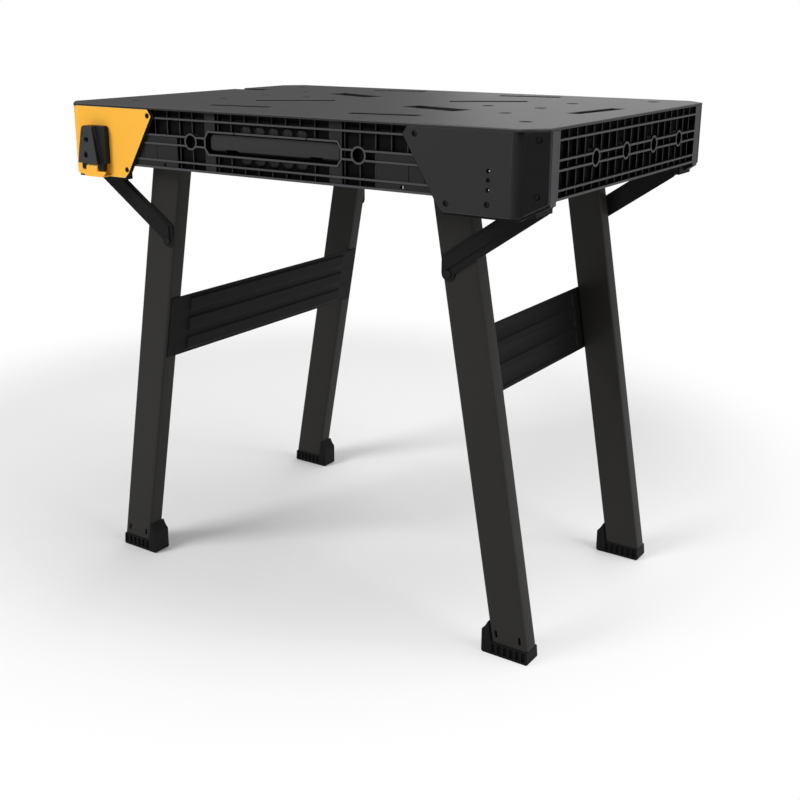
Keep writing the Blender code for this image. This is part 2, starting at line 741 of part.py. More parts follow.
def make_corner(bench, side_name, side, end_name, end, block_face, strut_top):
    """Make one corner: the housing that joins the walls and the plate that covers it."""
    finish = YELLOW_PLASTIC if (side_name, end_name) == ("left", "front") else WALL_PLASTIC
    corner = f"{end_name}_{side_name}"
    start = HALF_LENGTH - PLATE_KNEE_LENGTH - HOUSING_RIM * 2
    z_range = (HEIGHT - PLATE_DROP - HOUSING_RIM * 2, BODY_TOP)

    outer = corner_sum(0.0)
    inner = corner_sum(PLATE_THICKNESS)
    back = HALF_DEPTH - PLATE_THICKNESS
    plan = ((start, HALF_DEPTH), (outer - HALF_DEPTH, HALF_DEPTH),
            (HALF_LENGTH, outer - HALF_LENGTH), (HALF_LENGTH, inner - HALF_LENGTH),
            (inner - back, back), (start, back))
    plate = bench.attach("corner_plate_" + corner, flipped(prism(plan, *z_range), side, end), finish)
    mask = prism(plate_outline(0.0), 0.0, DEPTH, "Y")
    boolean(plate, bench.attach(f"plate_mask_{corner}", flipped(mask, side, end)), "INTERSECT")

    outer = corner_sum(PLATE_THICKNESS + GAP)
    middle = corner_sum(PLATE_THICKNESS + GAP + CORNER_WALL / 2)
    inner = corner_sum(PLATE_THICKNESS + GAP + CORNER_WALL)
    post_y = END_LATTICE_Y + GAP
    plan = ((start, HOUSING_FRONT), (outer - HOUSING_FRONT, HOUSING_FRONT),
            (HALF_LENGTH, outer - HALF_LENGTH), (HALF_LENGTH, post_y), (WALL_X, post_y),
            (WALL_X, inner - WALL_X), (inner - WALL_Y, WALL_Y), (BLOCK_X, WALL_Y),
            (BLOCK_X, HOUSING_BACK), (start, HOUSING_BACK))
    housing = bench.attach("corner_housing_" + corner, flipped(prism(plan, *z_range), side, end),
                           WALL_PLASTIC)
    mask = prism(plate_outline(HOUSING_RIM), 0.0, DEPTH, "Y")
    boolean(housing, bench.attach(f"housing_mask_{corner}", flipped(mask, side, end)), "INTERSECT")

    block_low = strut_top.x - PIVOT_BLOCK_BACK
    block_high = WALL_X - GAP
    block_back = WALL_Y + HOUSING_SLAB
    plan = ((block_low, block_face), (block_high, block_face), (block_high, middle - block_high),
            (middle - block_back, block_back), (block_low, block_back))
    block = prism(plan, strut_top.y - PIVOT_BLOCK_DROP, PANEL_UNDERSIDE - PIVOT_BLOCK_TOP)
    boolean(housing, bench.attach(f"pivot_block_{corner}", flipped(block, side, end)), "UNION")
    seat = prism(circle(strut_top, bore(STRUT_PIN_RADIUS, GAP)), block_face - GAP,
                 seat_end(block_face), "Y")
    boolean(housing, bench.attach(f"pivot_seat_{corner}", flipped(seat, side, end)), "DIFFERENCE")


def seat_end(block_face):
    """Return how deep the strut's upper pin sits in the pivot block."""
    return min(block_face + STRUT_PIN_SEAT, WALL_Y + GAP)


def on_leg(bm, legs):
    """Place a solid, drawn upright about its top pivot, along a splayed leg."""
    top = legs.top_pivot
    place = Matrix.Translation((top.x, 0.0, top.y)) @ Matrix.Rotation(-SPLAY, 4, "Y")
    bmesh.ops.transform(bm, matrix=place, verts=bm.verts)
    return bm


def tube_core(legs, half_width, half_depth, radius, low, high):
    """Return one tube profile along a leg, ending level at the bottom."""
    middle_y = legs.outer_face - TUBE_DEPTH / 2
    points = [(x, middle_y + y) for x, y in rounded_box_outline(half_width, half_depth, radius, 2)]
    length = (legs.pivot_height - low) / math.cos(SPLAY)
    bm = prism(points, -length, high)
    for vert in bm.verts:
        if vert.co.z < 0.0:
            vert.co.z -= vert.co.x * math.tan(SPLAY)
    return on_leg(bm, legs)


def make_leg(moving, legs, end_name, end):
    """Make one leg tube, open at both ends, with the bore of its top pivot."""
    name = f"leg_tube_{end_name}_{legs.name}"
    foot_top = FOOT_HEIGHT + GAP
    outer = tube_core(legs, TUBE_WIDTH / 2, TUBE_DEPTH / 2, TUBE_INNER_ROUNDING + TUBE_WALL,
                      foot_top, TUBE_TOP)
    tube = moving.attach(name, flipped(outer, legs.side, end), LEG_STEEL)
    inner = tube_core(legs, TUBE_WIDTH / 2 - TUBE_WALL, TUBE_DEPTH / 2 - TUBE_WALL,
                      TUBE_INNER_ROUNDING, foot_top - TUBE_WALL, TUBE_TOP + TUBE_WALL)
    boolean(tube, moving.attach(name + "_hollow", flipped(inner, legs.side, end)), "DIFFERENCE")
    hole = prism(circle(legs.top_pivot, bore(LEG_PIN_RADIUS, PIN_PLAY)),
                 legs.inner_face - TUBE_WALL, legs.outer_face + TUBE_WALL, "Y")
    boolean(tube, moving.attach(name + "_bore", flipped(hole, legs.side, end)), "DIFFERENCE")


def make_foot(moving, legs, end_name, end):
    """Make one foot: a sole under the tube, a lug behind it and a plug inside it."""
    name = f"foot_{end_name}_{legs.name}"
    toe = legs.floor_edge - FOOT_INSET
    heel = toe - FOOT_LENGTH
    outline = ((heel + FOOT_CHAMFER, 0.0), (toe - FOOT_CHAMFER, 0.0), (toe, FOOT_CHAMFER),
               (toe - FOOT_HEIGHT * math.tan(SPLAY) / 2, FOOT_HEIGHT),
               (legs.inner_x(FOOT_HEIGHT) - GAP, FOOT_HEIGHT),
               (legs.inner_x(FOOT_LUG_HIGH) - GAP, FOOT_LUG_HIGH),
               (heel + FOOT_LUG_SLOPE, FOOT_LUG_LOW), (heel, FOOT_LUG_LOW - FOOT_LUG_SLOPE),
               (heel, FOOT_CHAMFER))
    sides = (legs.inner_face - FOOT_PROUD, legs.outer_face + FOOT_PROUD)
    sole = flipped(prism(outline, *sides, "Y"), legs.side, end)
    foot = moving.attach(name, sole, FOOT_RUBBER)
    reach = TUBE_WIDTH / 2 / math.cos(SPLAY) - (TUBE_WALL + GAP) / math.cos(SPLAY)
    low, high = FOOT_HEIGHT / 2, FOOT_PLUG_HEIGHT
    plug = ((legs.centre_x(low) - reach, low), (legs.centre_x(low) + reach, low),
            (legs.centre_x(high) + reach, high), (legs.centre_x(high) - reach, high))
    inset = TUBE_WALL + TUBE_INNER_ROUNDING
    inside = prism(plug, legs.inner_face + inset, legs.outer_face - inset, "Y")
    boolean(foot, moving.attach(name + "_plug", flipped(inside, legs.side, end)), "UNION")


def panel_profile(length):
    """Return the beaded sheet's section: height along the leg, then distance from it."""
    lane = length / BEAD_COUNT
    low_line = [(0.0, 0.0)]
    for index in range(BEAD_COUNT):
        middle = lane * (index + 0.5)
        half = BEAD_WIDTH / 2
        low_line += [(middle - half - BEAD_SLOPE, 0.0), (middle - half, BEAD_HEIGHT),
                     (middle + half, BEAD_HEIGHT), (middle + half + BEAD_SLOPE, 0.0)]
    low_line.append((length, 0.0))
    high_line = [(along, out + SHEET_THICKNESS) for along, out in reversed(low_line)]
    return low_line + high_line


def make_cross_panel(moving, legs):
    """Make the beaded sheet that ties the two legs of a pair together."""
    drop = TUBE_WIDTH / 2 * math.sin(SPLAY)
    start = (legs.pivot_height - PANEL_HIGH - drop) / math.cos(SPLAY)
    length = (PANEL_HIGH - PANEL_LOW) / math.cos(SPLAY)
    face = -TUBE_WIDTH / 2 - GAP
    outline = [(face - out, -start - along) for along, out in panel_profile(length)]
    half_width = legs.outer_face - SHEET_SIDE_MARGIN
    sheet = on_leg(prism(outline, -half_width, half_width, "Y"), legs)
    moving.attach(f"cross_panel_{legs.name}", flipped(sheet, legs.side), LEG_STEEL)


def strut_outline(legs):
    """Return the strut's outline: a band, round at the top, with a tab at the bottom."""
    half = STRUT_WIDTH / 2
    degrees = math.degrees(STRUT_ANGLE)
    foot = legs.strut_foot
    top = legs.strut_top
    points = arc(top, half, degrees - 90, degrees + 90, 8)
    tab_x = foot.x - STRUT_TAB_RADIUS
    rise = (half / math.cos(STRUT_ANGLE)) - (top.x - tab_x) * math.tan(STRUT_ANGLE)
    points.append((tab_x, top.y + rise))
    meet = math.degrees(math.acos((half - STRUT_PIN_DROP) / STRUT_TAB_RADIUS))
    return points + arc(foot, STRUT_TAB_RADIUS, 180, 270 + degrees + meet, 6)


def strut_rib_outline(legs):
    """Return the raised band of the strut, between its two pressed steps."""
    along = Vector((math.cos(STRUT_ANGLE), math.sin(STRUT_ANGLE)))
    across = Vector((-along.y, along.x))
    low = STRUT_RIB_LOW - STRUT_WIDTH / 2
    high = STRUT_WIDTH / 2 - STRUT_RIB_HIGH
    top = legs.strut_top
    points = arc(top, high, math.degrees(STRUT_ANGLE), math.degrees(STRUT_ANGLE) + 90, 4)
    start_x = legs.strut_foot.x - STRUT_TAB_RADIUS + STRUT_RIB_END
    reach_high = (top.x + across.x * high - start_x) / along.x
    reach_low = (top.x + across.x * low - start_x) / along.x
    corner_high = top + across * high - along * reach_high
    corner_low = top + across * low - along * reach_low
    end_low = top + across * low + along * math.sqrt(high * high - low * low)
    return points + [tuple(corner_high), tuple(corner_low), tuple(end_low)]


def make_strut(fixed, moving, legs, end_name, end):
    """Make one strut, its lower pin and the upper pin that it turns on."""
    face = legs.strut_face
    side = legs.side
    name = f"strut_{end_name}_{legs.name}"
    sheet = prism(strut_outline(legs), face, face + STRUT_SHEET, "Y")
    strut = moving.attach(name, flipped(sheet, side, end), STRUT_STEEL)
    rib = prism(strut_rib_outline(legs), face + STRUT_SHEET / 2, face + STRUT_DEPTH, "Y")
    boolean(strut, moving.attach(name + "_rib", flipped(rib, side, end)), "UNION")
    through = (face - GAP, face + STRUT_DEPTH + GAP)
    holes = [prism(circle(legs.strut_top, bore(STRUT_PIN_RADIUS, PIN_PLAY)), *through, "Y"),
             prism(circle(legs.strut_foot, bore(STRUT_PIN_RADIUS, GAP)), *through, "Y")]
    boolean(strut, moving.attach(name + "_bores", flipped(joined(holes), side, end)), "DIFFERENCE")

    outer = face + STRUT_SHEET + GAP
    rivet = stepped_pin(legs.strut_foot, STRUT_PIN_RADIUS, (face, outer),
                        STRUT_RIVET_RADIUS, (outer, outer + STRUT_RIVET_HEAD))
    moving.attach(f"strut_lower_pin_{end_name}_{legs.name}", flipped(rivet, side, end), PIN_STEEL)

    seat = seat_end(legs.block_face) - GAP
    pin = stepped_pin(legs.strut_top, STRUT_PIN_RADIUS, (face - GAP, seat),
                      STRUT_PIN_HEAD_RADIUS, (face - GAP - STRUT_PIN_HEAD, face - GAP))
    fixed.attach(f"strut_upper_pin_{end_name}_{legs.name}", flipped(pin, side, end), PIN_STEEL)


def stepped_pin(centre, radius, shank, head_radius, head):
    """Return a turned pin along Y: a round shank and a wider round head on one end."""
    bm = prism(circle(centre, radius), *shank, "Y")
    head_at_end = head[0] >= shank[1]
    plane = shank[1] if head_at_end else shank[0]
    cap = [face for face in bm.faces
           if all(abs(vert.co.y - plane) < GAP / 10 for vert in face.verts)]
    middle = Vector((centre[0], plane, centre[1]))
    bmesh.ops.inset_region(bm, faces=cap, thickness=0.0, use_even_offset=False)
    widen = Matrix.Diagonal((head_radius / radius, 1.0, head_radius / radius, 1.0))
    place = Matrix.Translation(middle) @ widen @ Matrix.Translation(-middle)
    bmesh.ops.transform(bm, matrix=place, verts=cap[0].verts)
    grown = bmesh.ops.extrude_face_region(bm, geom=cap)
    moved = [item for item in grown["geom"] if isinstance(item, bmesh.types.BMVert)]
    step = head[1] - head[0] if head_at_end else head[0] - head[1]
    bmesh.ops.translate(bm, vec=(0.0, step, 0.0), verts=moved)
    inner = [face for face in bm.faces if face in cap]
    bmesh.ops.delete(bm, geom=inner, context="FACES_ONLY")
    bmesh.ops.recalc_face_normals(bm, faces=bm.faces)
    return bm


def make_track(bench, legs, end_name, end):
    """Make one guide track: a slotted web hung from the deck by a flange."""
    slide, _ = legs.folded()
    top = legs.top_pivot
    web_inner = legs.web_outer - TRACK_WEB
    x_range = (top.x - TRACK_END, top.x + slide + TRACK_END)
    ceiling = PANEL_UNDERSIDE - GAP
    section = ((legs.web_outer, top.y - TRACK_DROP), (legs.web_outer, ceiling),
               (web_inner - TRACK_FLANGE, ceiling),
               (web_inner - TRACK_FLANGE, ceiling - TRACK_FLANGE_THICKNESS),
               (web_inner, ceiling - TRACK_FLANGE_THICKNESS), (web_inner, top.y - TRACK_DROP))
    track = bench.attach(f"guide_track_{end_name}_{legs.name}",
                         flipped(prism(section, *x_range, "X"), legs.side, end), LEG_STEEL)
    half = SHOE_CORE / 2 + GAP
    slot = box((top.x - half, top.x + slide + half),
               (web_inner - TRACK_WEB, legs.web_outer + TRACK_WEB), (top.y - half, top.y + half))
    boolean(track, bench.attach(f"track_slot_{end_name}_{legs.name}",
                                flipped(slot, legs.side, end)), "DIFFERENCE")


def make_shoe(carriage, legs, end_name, end):
    """Make one glide shoe, a square spool in the track's slot, and its leg pivot pin."""
    top = legs.top_pivot
    web_inner = legs.web_outer - TRACK_WEB
    inner = web_inner - GAP - SHOE_INNER_FLANGE
    outer = legs.web_outer + GAP + SHOE_OUTER_FLANGE
    half_core = SHOE_CORE / 2
    half_flange = SHOE_FLANGE_SIZE / 2
    section = ((half_flange, inner), (half_flange, web_inner - GAP), (half_core, web_inner - GAP),
               (half_core, legs.web_outer + GAP), (half_flange, legs.web_outer + GAP),
               (half_flange, outer))
    plan = [(top.x + x, y) for x, y in section] + [(top.x - x, y) for x, y in reversed(section)]
    spool = prism(plan, top.y - half_core, top.y + half_core)
    name = f"glide_shoe_{end_name}_{legs.name}"
    shoe = carriage.attach(name, flipped(spool, legs.side, end), GLIDE_NYLON)
    hole = prism(circle(top, bore(LEG_PIN_RADIUS, GAP)), inner - GAP, outer + GAP, "Y")
    boolean(shoe, carriage.attach(name + "_bore", flipped(hole, legs.side, end)), "DIFFERENCE")

    head = (inner - GAP - LEG_PIN_HEAD, inner - GAP)
    pin = stepped_pin(top, LEG_PIN_RADIUS, (head[1], legs.outer_face - GAP),
                      LEG_PIN_HEAD_RADIUS, head)
    carriage.attach(f"leg_pivot_pin_{end_name}_{legs.name}", flipped(pin, legs.side, end),
                    PIN_STEEL)


def make_latch(bench):
    """Make the latch of the front left plate: its base, its pin and its swinging lever."""
    base_y = HALF_DEPTH + GAP
    hinge = (LATCH_HINGE_Y, LATCH_HINGE_Z)
    inner_x = HALF_LENGTH - LATCH_INNER_LENGTH
    low_x = HALF_LENGTH - LATCH_LOW_LENGTH
    ears = ((inner_x + LATCH_EAR_INSET, inner_x + LATCH_EAR_INSET + LATCH_EAR_WIDTH),
            (low_x - LATCH_EAR_INSET - LATCH_EAR_WIDTH, low_x - LATCH_EAR_INSET))
    knuckle = (ears[0][1] + GAP, ears[1][0] - GAP)
    lip_top = LATCH_HINGE_Z - LATCH_HINGE_OUT - GAP
    lip_low = lip_top - LATCH_LIP_THICKNESS
    lip_out = LATCH_HINGE_Y + LATCH_KNUCKLE_RADIUS

    hood_top = LATCH_HINGE_Z - LATCH_HOOD_DROP
    hood_low_x = inner_x - LATCH_HOOD_FLARE
    hood_high_x = low_x - LATCH_HOOD_INSET
    face = ((hood_low_x + LATCH_HOOD_SLOPE, lip_low), (hood_high_x - LATCH_HOOD_SLOPE, lip_low),
            (hood_high_x, hood_top), (hood_low_x, hood_top))
    hood = prism(face, base_y, lip_out - GAP, "Y")
    base = bench.attach("latch_base", flipped(hood, -1, -1), YELLOW_PLASTIC)
    room = box((hood_low_x - GAP, hood_high_x + GAP),
               (base_y - GAP, lip_out - GAP - LATCH_HOOD_WALL), (lip_top, hood_top + GAP))
    boolean(base, bench.attach("latch_ear_room", flipped(room, -1, -1)), "DIFFERENCE")
    section = [(base_y, lip_low + GAP), (lip_out, lip_low + GAP)]
    section += arc(hinge, LATCH_KNUCKLE_RADIUS, 0.0, KNUCKLE_END, 8)
    section.append((base_y, LATCH_HINGE_Z + LATCH_KNUCKLE_RADIUS / 2))
    middle = prism(section, *knuckle, "X")
    boolean(base, bench.attach("latch_knuckle", flipped(middle, -1, -1)), "UNION")
    hole = prism(circle(hinge, bore(LATCH_PIN_RADIUS, GAP)), inner_x, low_x, "X")
    boolean(base, bench.attach("latch_base_bore", flipped(hole, -1, -1)), "DIFFERENCE")
    pin = prism(circle(hinge, LATCH_PIN_RADIUS), ears[0][0] + GAP, ears[1][1] - GAP, "X")
    bench.attach("latch_pin", flipped(pin, -1, -1), PIN_STEEL)

    moving = Pivot("latch_hinge", (0.0, -LATCH_HINGE_Y, LATCH_HINGE_Z), bench)
    low = LATCH_HINGE_Z + LATCH_BODY_START
    high = LATCH_HINGE_Z + LATCH_HEIGHT
    top_x = HALF_LENGTH - LATCH_TOP_LENGTH
    outer_corner = arc((top_x - LATCH_ROUNDING, high - LATCH_ROUNDING), LATCH_ROUNDING, 0, 90, 3)
    inner_corner = arc((inner_x + LATCH_ROUNDING, high - LATCH_ROUNDING), LATCH_ROUNDING,
                       90, 180, 3)
    outline = [(inner_x + LATCH_RIDGE_LOW, low), (low_x, low)] + outer_corner
    outline.append((inner_x + LATCH_RIDGE_TOP, high))
    band = prism(outline, base_y, HALF_DEPTH + LATCH_REACH, "Y")
    outer_edges = [edge for edge in band.edges
                   if all(vert.co.y > HALF_DEPTH + LATCH_REACH - GAP and vert.co.z > low + GAP
                          for vert in edge.verts)]
    bevel_edges(band, outer_edges, LATCH_ROUNDING / 2)
    lever = moving.attach("latch_lever", flipped(band, -1, -1), WALL_PLASTIC)
    outline = [(inner_x, low), (low_x - LATCH_ROUNDING, low)] + outer_corner[-1:] + inner_corner
    slab = prism(outline, base_y, base_y + LATCH_SLAB, "Y")
    boolean(lever, moving.attach("latch_slab", flipped(slab, -1, -1)), "UNION")
    ear_section = arc(hinge, LATCH_EAR_RADIUS, 180, 360, 8)
    ear_section += [(LATCH_HINGE_Y + LATCH_EAR_RADIUS, low + GAP),
                    (LATCH_HINGE_Y - LATCH_EAR_RADIUS, low + GAP)]
    ear_solids = joined([prism(ear_section, *ear, "X") for ear in ears])
    boolean(lever, moving.attach("latch_ears", flipped(ear_solids, -1, -1)), "UNION")
    hole = prism(circle(hinge, bore(LATCH_PIN_RADIUS, PIN_PLAY)), inner_x, low_x, "X")
    boolean(lever, moving.attach("latch_lever_bore", flipped(hole, -1, -1)), "DIFFERENCE")


def make_leg_pair(bench, legs):
    """Make one pair of legs with everything that carries it and folds with it."""
    top = legs.top_pivot
    upper = legs.strut_top
    shoes_at = (legs.side * top.x, 0.0, top.y)
    carriage = Pivot(f"carriage_{legs.name}", shoes_at, bench)
    folding = Pivot(f"leg_fold_{legs.name}", shoes_at, carriage)
    strutting = Pivot(f"strut_fold_{legs.name}", (legs.side * upper.x, 0.0, upper.y), bench)
    make_cross_panel(folding, legs)
    for end_name, end in ENDS.items():
        make_track(bench, legs, end_name, end)
        make_shoe(carriage, legs, end_name, end)
        make_leg(folding, legs, end_name, end)
        make_foot(folding, legs, end_name, end)
        make_strut(bench, strutting, legs, end_name, end)
        make_corner(bench, legs.name, legs.side, end_name, end, legs.block_face, upper)


def main():
    """Build the whole bench."""
    clear_scene()
    bench = Pivot("bench", (0.0, 0.0, 0.0))
    bench.empty.location.y = FRONT_SHIFT
    make_deck(bench)
    make_side_rail(bench, "front_rail", -1, True)
    make_side_rail(bench, "rear_rail", 1, False)
    make_end_rail(bench, "left_end_rail", -1)
    make_end_rail(bench, "right_end_rail", 1)
    make_grip(bench)
    make_guard(bench, LEGS[0])
    make_latch(bench)
    for legs in LEGS:
        make_leg_pair(bench, legs)


main()
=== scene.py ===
"""Looks of a folding workbench: moulded plastic body, powder coated legs, yellow corner and latch.

Everything is in metres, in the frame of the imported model: +Z up and the front towards -Y.
"""

import logging
import math
from dataclasses import dataclass
from enum import Enum
from typing import Callable, Iterable, Optional, Sequence

import bmesh
import bpy
from mathutils import Matrix, Vector


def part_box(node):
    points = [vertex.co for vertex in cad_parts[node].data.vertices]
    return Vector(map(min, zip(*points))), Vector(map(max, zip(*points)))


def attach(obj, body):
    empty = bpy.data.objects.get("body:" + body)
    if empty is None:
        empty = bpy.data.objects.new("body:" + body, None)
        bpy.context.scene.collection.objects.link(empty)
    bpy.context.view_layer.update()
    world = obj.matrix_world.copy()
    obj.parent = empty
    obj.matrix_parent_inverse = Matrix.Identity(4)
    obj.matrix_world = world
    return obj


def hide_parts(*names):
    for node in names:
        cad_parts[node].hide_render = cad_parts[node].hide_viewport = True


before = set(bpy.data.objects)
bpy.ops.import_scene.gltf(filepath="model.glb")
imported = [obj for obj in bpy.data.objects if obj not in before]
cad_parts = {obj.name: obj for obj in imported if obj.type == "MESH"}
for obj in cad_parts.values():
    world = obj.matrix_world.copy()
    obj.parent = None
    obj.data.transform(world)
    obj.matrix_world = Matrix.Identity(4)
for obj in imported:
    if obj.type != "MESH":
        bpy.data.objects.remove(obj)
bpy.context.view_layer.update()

LOG = logging.getLogger("workbench")
MILLIMETRE = 0.001
WELD = 0.01 * MILLIMETRE
FLAT_ANGLE = math.radians(1.0)
EDGE_ANGLE = math.radians(35.0)
SMOOTH_ANGLE = math.radians(50.0)
TO_REAR = Vector((0.0, 1.0, 0.0))
BENCH = "bench_body"

# The face attribute that tells the plastic's shader how much painted highlight or painted shade a
# face gets.
PAINTED_LIGHT = "painted_light"
# How far a face is turned to a side, as the share of its normal: a little, mostly, squarely.
TURNED = 0.25
MOSTLY = 0.9
SQUARELY = 0.97
# Depths in millimetres behind a lattice wall's face, each with its painted light: a painted
# highlight on the bars, none on the flats and a faint one on the ribs.
LATTICE_STEPS = ((1.0, -1.0), (2.6, 0.0), (6.2, -0.3))

Point = tuple[float, float]
# Gives a face's painted highlight or painted shade from its middle and its normal.
PaintedLight = Callable[[Vector, Vector], float]


class Side(Enum):
    """The two ends of the bench, by the sign of X."""

    LEFT = -1
    RIGHT = 1


class End(Enum):
    """The front and the rear of the bench, by the sign of Y."""

    FRONT = -1
    REAR = 1


class Slot(Enum):
    """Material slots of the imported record."""

    CHARCOAL = "charcoal_plastic"
    BLACK = "black_plastic"
    YELLOW = "yellow_plastic"
    COATED = "black_coated_steel"
    ZINC = "zinc_steel"
    RUBBER = "black_rubber"
    NYLON = "black_nylon"


def linear(colour: str) -> tuple[float, float, float, float]:
    """Turn an sRGB hex colour to linear values.

    Args:
        colour: Six hex digits with a leading hash.

    Returns:
        Red, green, blue and an alpha of one.
    """
    values = []
    for start in (1, 3, 5):
        value = int(colour[start:start + 2], 16) / 255.0
        values.append(value / 12.92 if value <= 0.04045 else ((value + 0.055) / 1.055) ** 2.4)
    return values[0], values[1], values[2], 1.0


def add_node(tree: bpy.types.NodeTree, kind: str, inputs: Optional[dict] = None,
             **settings: object) -> bpy.types.Node:
    """Add a node with its settings, values and links.

    Args:
        tree: The tree that gets the node.
        kind: Blender's type name of the node.
        inputs: Values or output sockets by input name or index.
        settings: Properties of the node itself.

    Returns:
        The new node.
    """
    node = tree.nodes.new(kind)
    for key, value in settings.items():
        setattr(node, key, value)
    for key, value in (inputs or {}).items():
        if isinstance(value, bpy.types.NodeSocket):
            tree.links.new(value, node.inputs[key])
        else:
            node.inputs[key].default_value = value
    return node


@dataclass(frozen=True)
class Finish:
    """A surface finish, whose material is made once and shared by its pieces."""

    name: str
    colour: str

    def material(self) -> bpy.types.Material:
        """Return the material of this finish.

        Returns:
            A new material at the first call, and the same one after that.
        """
        made = bpy.data.materials.get(self.name)
        if made is None:
            made = bpy.data.materials.new(self.name)
            made.use_nodes = True
            tree = made.node_tree
            place = add_node(tree, "ShaderNodeTexCoord").outputs["Object"]
            self.dress(tree, tree.nodes["Principled BSDF"], place)
        return made

    def dress(self, tree: bpy.types.NodeTree, shader: bpy.types.Node,
              place: bpy.types.NodeSocket) -> None:
        """Set up the shader, which each kind of finish does in its own way."""
        raise NotImplementedError


@dataclass(frozen=True)
class MouldedPlastic(Finish):
    """Injection moulded plastic: a spark eroded grain over faint flow clouds.

    The grain breaks up the gloss, and the clouds keep wide faces from looking flat. A real
    grain is about 0.2 mm wide and is drawn coarser, so that close views show it. The faces'
    painted light runs from -1, a painted highlight on an edge, to 1, painted shade in a pocket.
    """

    clouded: str
    roughness: float = 0.5
    specular: float = 0.35
    gloss_spread: Point = (-0.06, 0.08)
    grain_mm: float = 1.1
    grain_depth_mm: float = 0.05
    grain_strength: float = 0.5
    cloud_mm: float = 90.0
    # Colours of the painted highlight on edges and of the painted shade in pockets.
    painted_highlight: str = "#5c5c5d"
    painted_shade: str = "#070707"

    def dress(self, tree: bpy.types.NodeTree, shader: bpy.types.Node,
              place: bpy.types.NodeSocket) -> None:
        """Tint the plastic by clouds and by painted highlights and painted shade, and let the
        grain break up its gloss.

        Args:
            tree: The material's tree.
            shader: Its shader.
            place: The piece's own coordinates.
        """
        clouds = add_node(tree, "ShaderNodeTexNoise", {
            "Vector": place, "Scale": 1.0 / (self.cloud_mm * MILLIMETRE), "Detail": 3.0})
        grain = add_node(tree, "ShaderNodeTexNoise", {
            "Vector": place, "Scale": 1.0 / (self.grain_mm * MILLIMETRE), "Detail": 2.0})
        tint = add_node(tree, "ShaderNodeMix", {
            "Factor": clouds.outputs["Fac"], "A": linear(self.colour),
            "B": linear(self.clouded)}, data_type="RGBA")
        gloss = add_node(tree, "ShaderNodeMapRange", {
            "Value": grain.outputs["Fac"], "To Min": self.roughness + self.gloss_spread[0],
            "To Max": self.roughness + self.gloss_spread[1]})
        bump = add_node(tree, "ShaderNodeBump", {
            "Height": grain.outputs["Fac"], "Strength": self.grain_strength,
            "Distance": self.grain_depth_mm * MILLIMETRE})
        painted_light = add_node(tree, "ShaderNodeAttribute", attribute_name=PAINTED_LIGHT).outputs["Fac"]
        # Below zero the attribute mixes in the painted highlight, above zero the painted shade.
        raised = add_node(tree, "ShaderNodeMapRange", {
            "Value": painted_light, "From Min": 0.0, "From Max": -1.0})
        sunk = add_node(tree, "ShaderNodeMapRange", {
            "Value": painted_light, "From Min": 0.0, "From Max": 1.0})
        edged = add_node(tree, "ShaderNodeMix", {
            "Factor": raised.outputs["Result"], "A": tint.outputs["Result"],
            "B": linear(self.painted_highlight)}, data_type="RGBA")
        shaded = add_node(tree, "ShaderNodeMix", {
            "Factor": sunk.outputs["Result"], "A": edged.outputs["Result"],
            "B": linear(self.painted_shade)}, data_type="RGBA")
        tree.links.new(shaded.outputs["Result"], shader.inputs["Base Color"])
        tree.links.new(gloss.outputs["Result"], shader.inputs["Roughness"])
        tree.links.new(bump.outputs["Normal"], shader.inputs["Normal"])
        shader.inputs["Specular IOR Level"].default_value = self.specular


@dataclass(frozen=True)
class PowderCoat(Finish):
    """Powder coated steel: an even satin film with a fine orange peel.

    The peel is drawn at 2 mm, about its real size, and shows as a soft break in highlights.
    """

    clouded: str
    roughness: float = 0.42
    specular: float = 0.4
    gloss_spread: Point = (-0.05, 0.07)
    peel_mm: float = 2.0
    peel_depth_mm: float = 0.04
    peel_strength: float = 0.25
    cloud_mm: float = 143.0

    def dress(self, tree: bpy.types.NodeTree, shader: bpy.types.Node,
              place: bpy.types.NodeSocket) -> None:
        """Vary the coat's tint and gloss in wide clouds, and dent it with the peel.

        Args:
            tree: The material's tree.
            shader: Its shader.
            place: The piece's own coordinates.
        """
        peel = add_node(tree, "ShaderNodeTexVoronoi", {
            "Vector": place, "Scale": 1.0 / (self.peel_mm * MILLIMETRE), "Smoothness": 1.0},
            feature="SMOOTH_F1")
        clouds = add_node(tree, "ShaderNodeTexNoise", {
            "Vector": place, "Scale": 1.0 / (self.cloud_mm * MILLIMETRE), "Detail": 4.0})
        tint = add_node(tree, "ShaderNodeMix", {
            "Factor": clouds.outputs["Fac"], "A": linear(self.colour),
            "B": linear(self.clouded)}, data_type="RGBA")
        gloss = add_node(tree, "ShaderNodeMapRange", {
            "Value": clouds.outputs["Fac"], "To Min": self.roughness + self.gloss_spread[0],
            "To Max": self.roughness + self.gloss_spread[1]})
        bump = add_node(tree, "ShaderNodeBump", {
            "Height": peel.outputs["Distance"], "Strength": self.peel_strength,
            "Distance": self.peel_depth_mm * MILLIMETRE})
        tree.links.new(tint.outputs["Result"], shader.inputs["Base Color"])
        tree.links.new(gloss.outputs["Result"], shader.inputs["Roughness"])
        tree.links.new(bump.outputs["Normal"], shader.inputs["Normal"])
        shader.inputs["Specular IOR Level"].default_value = self.specular


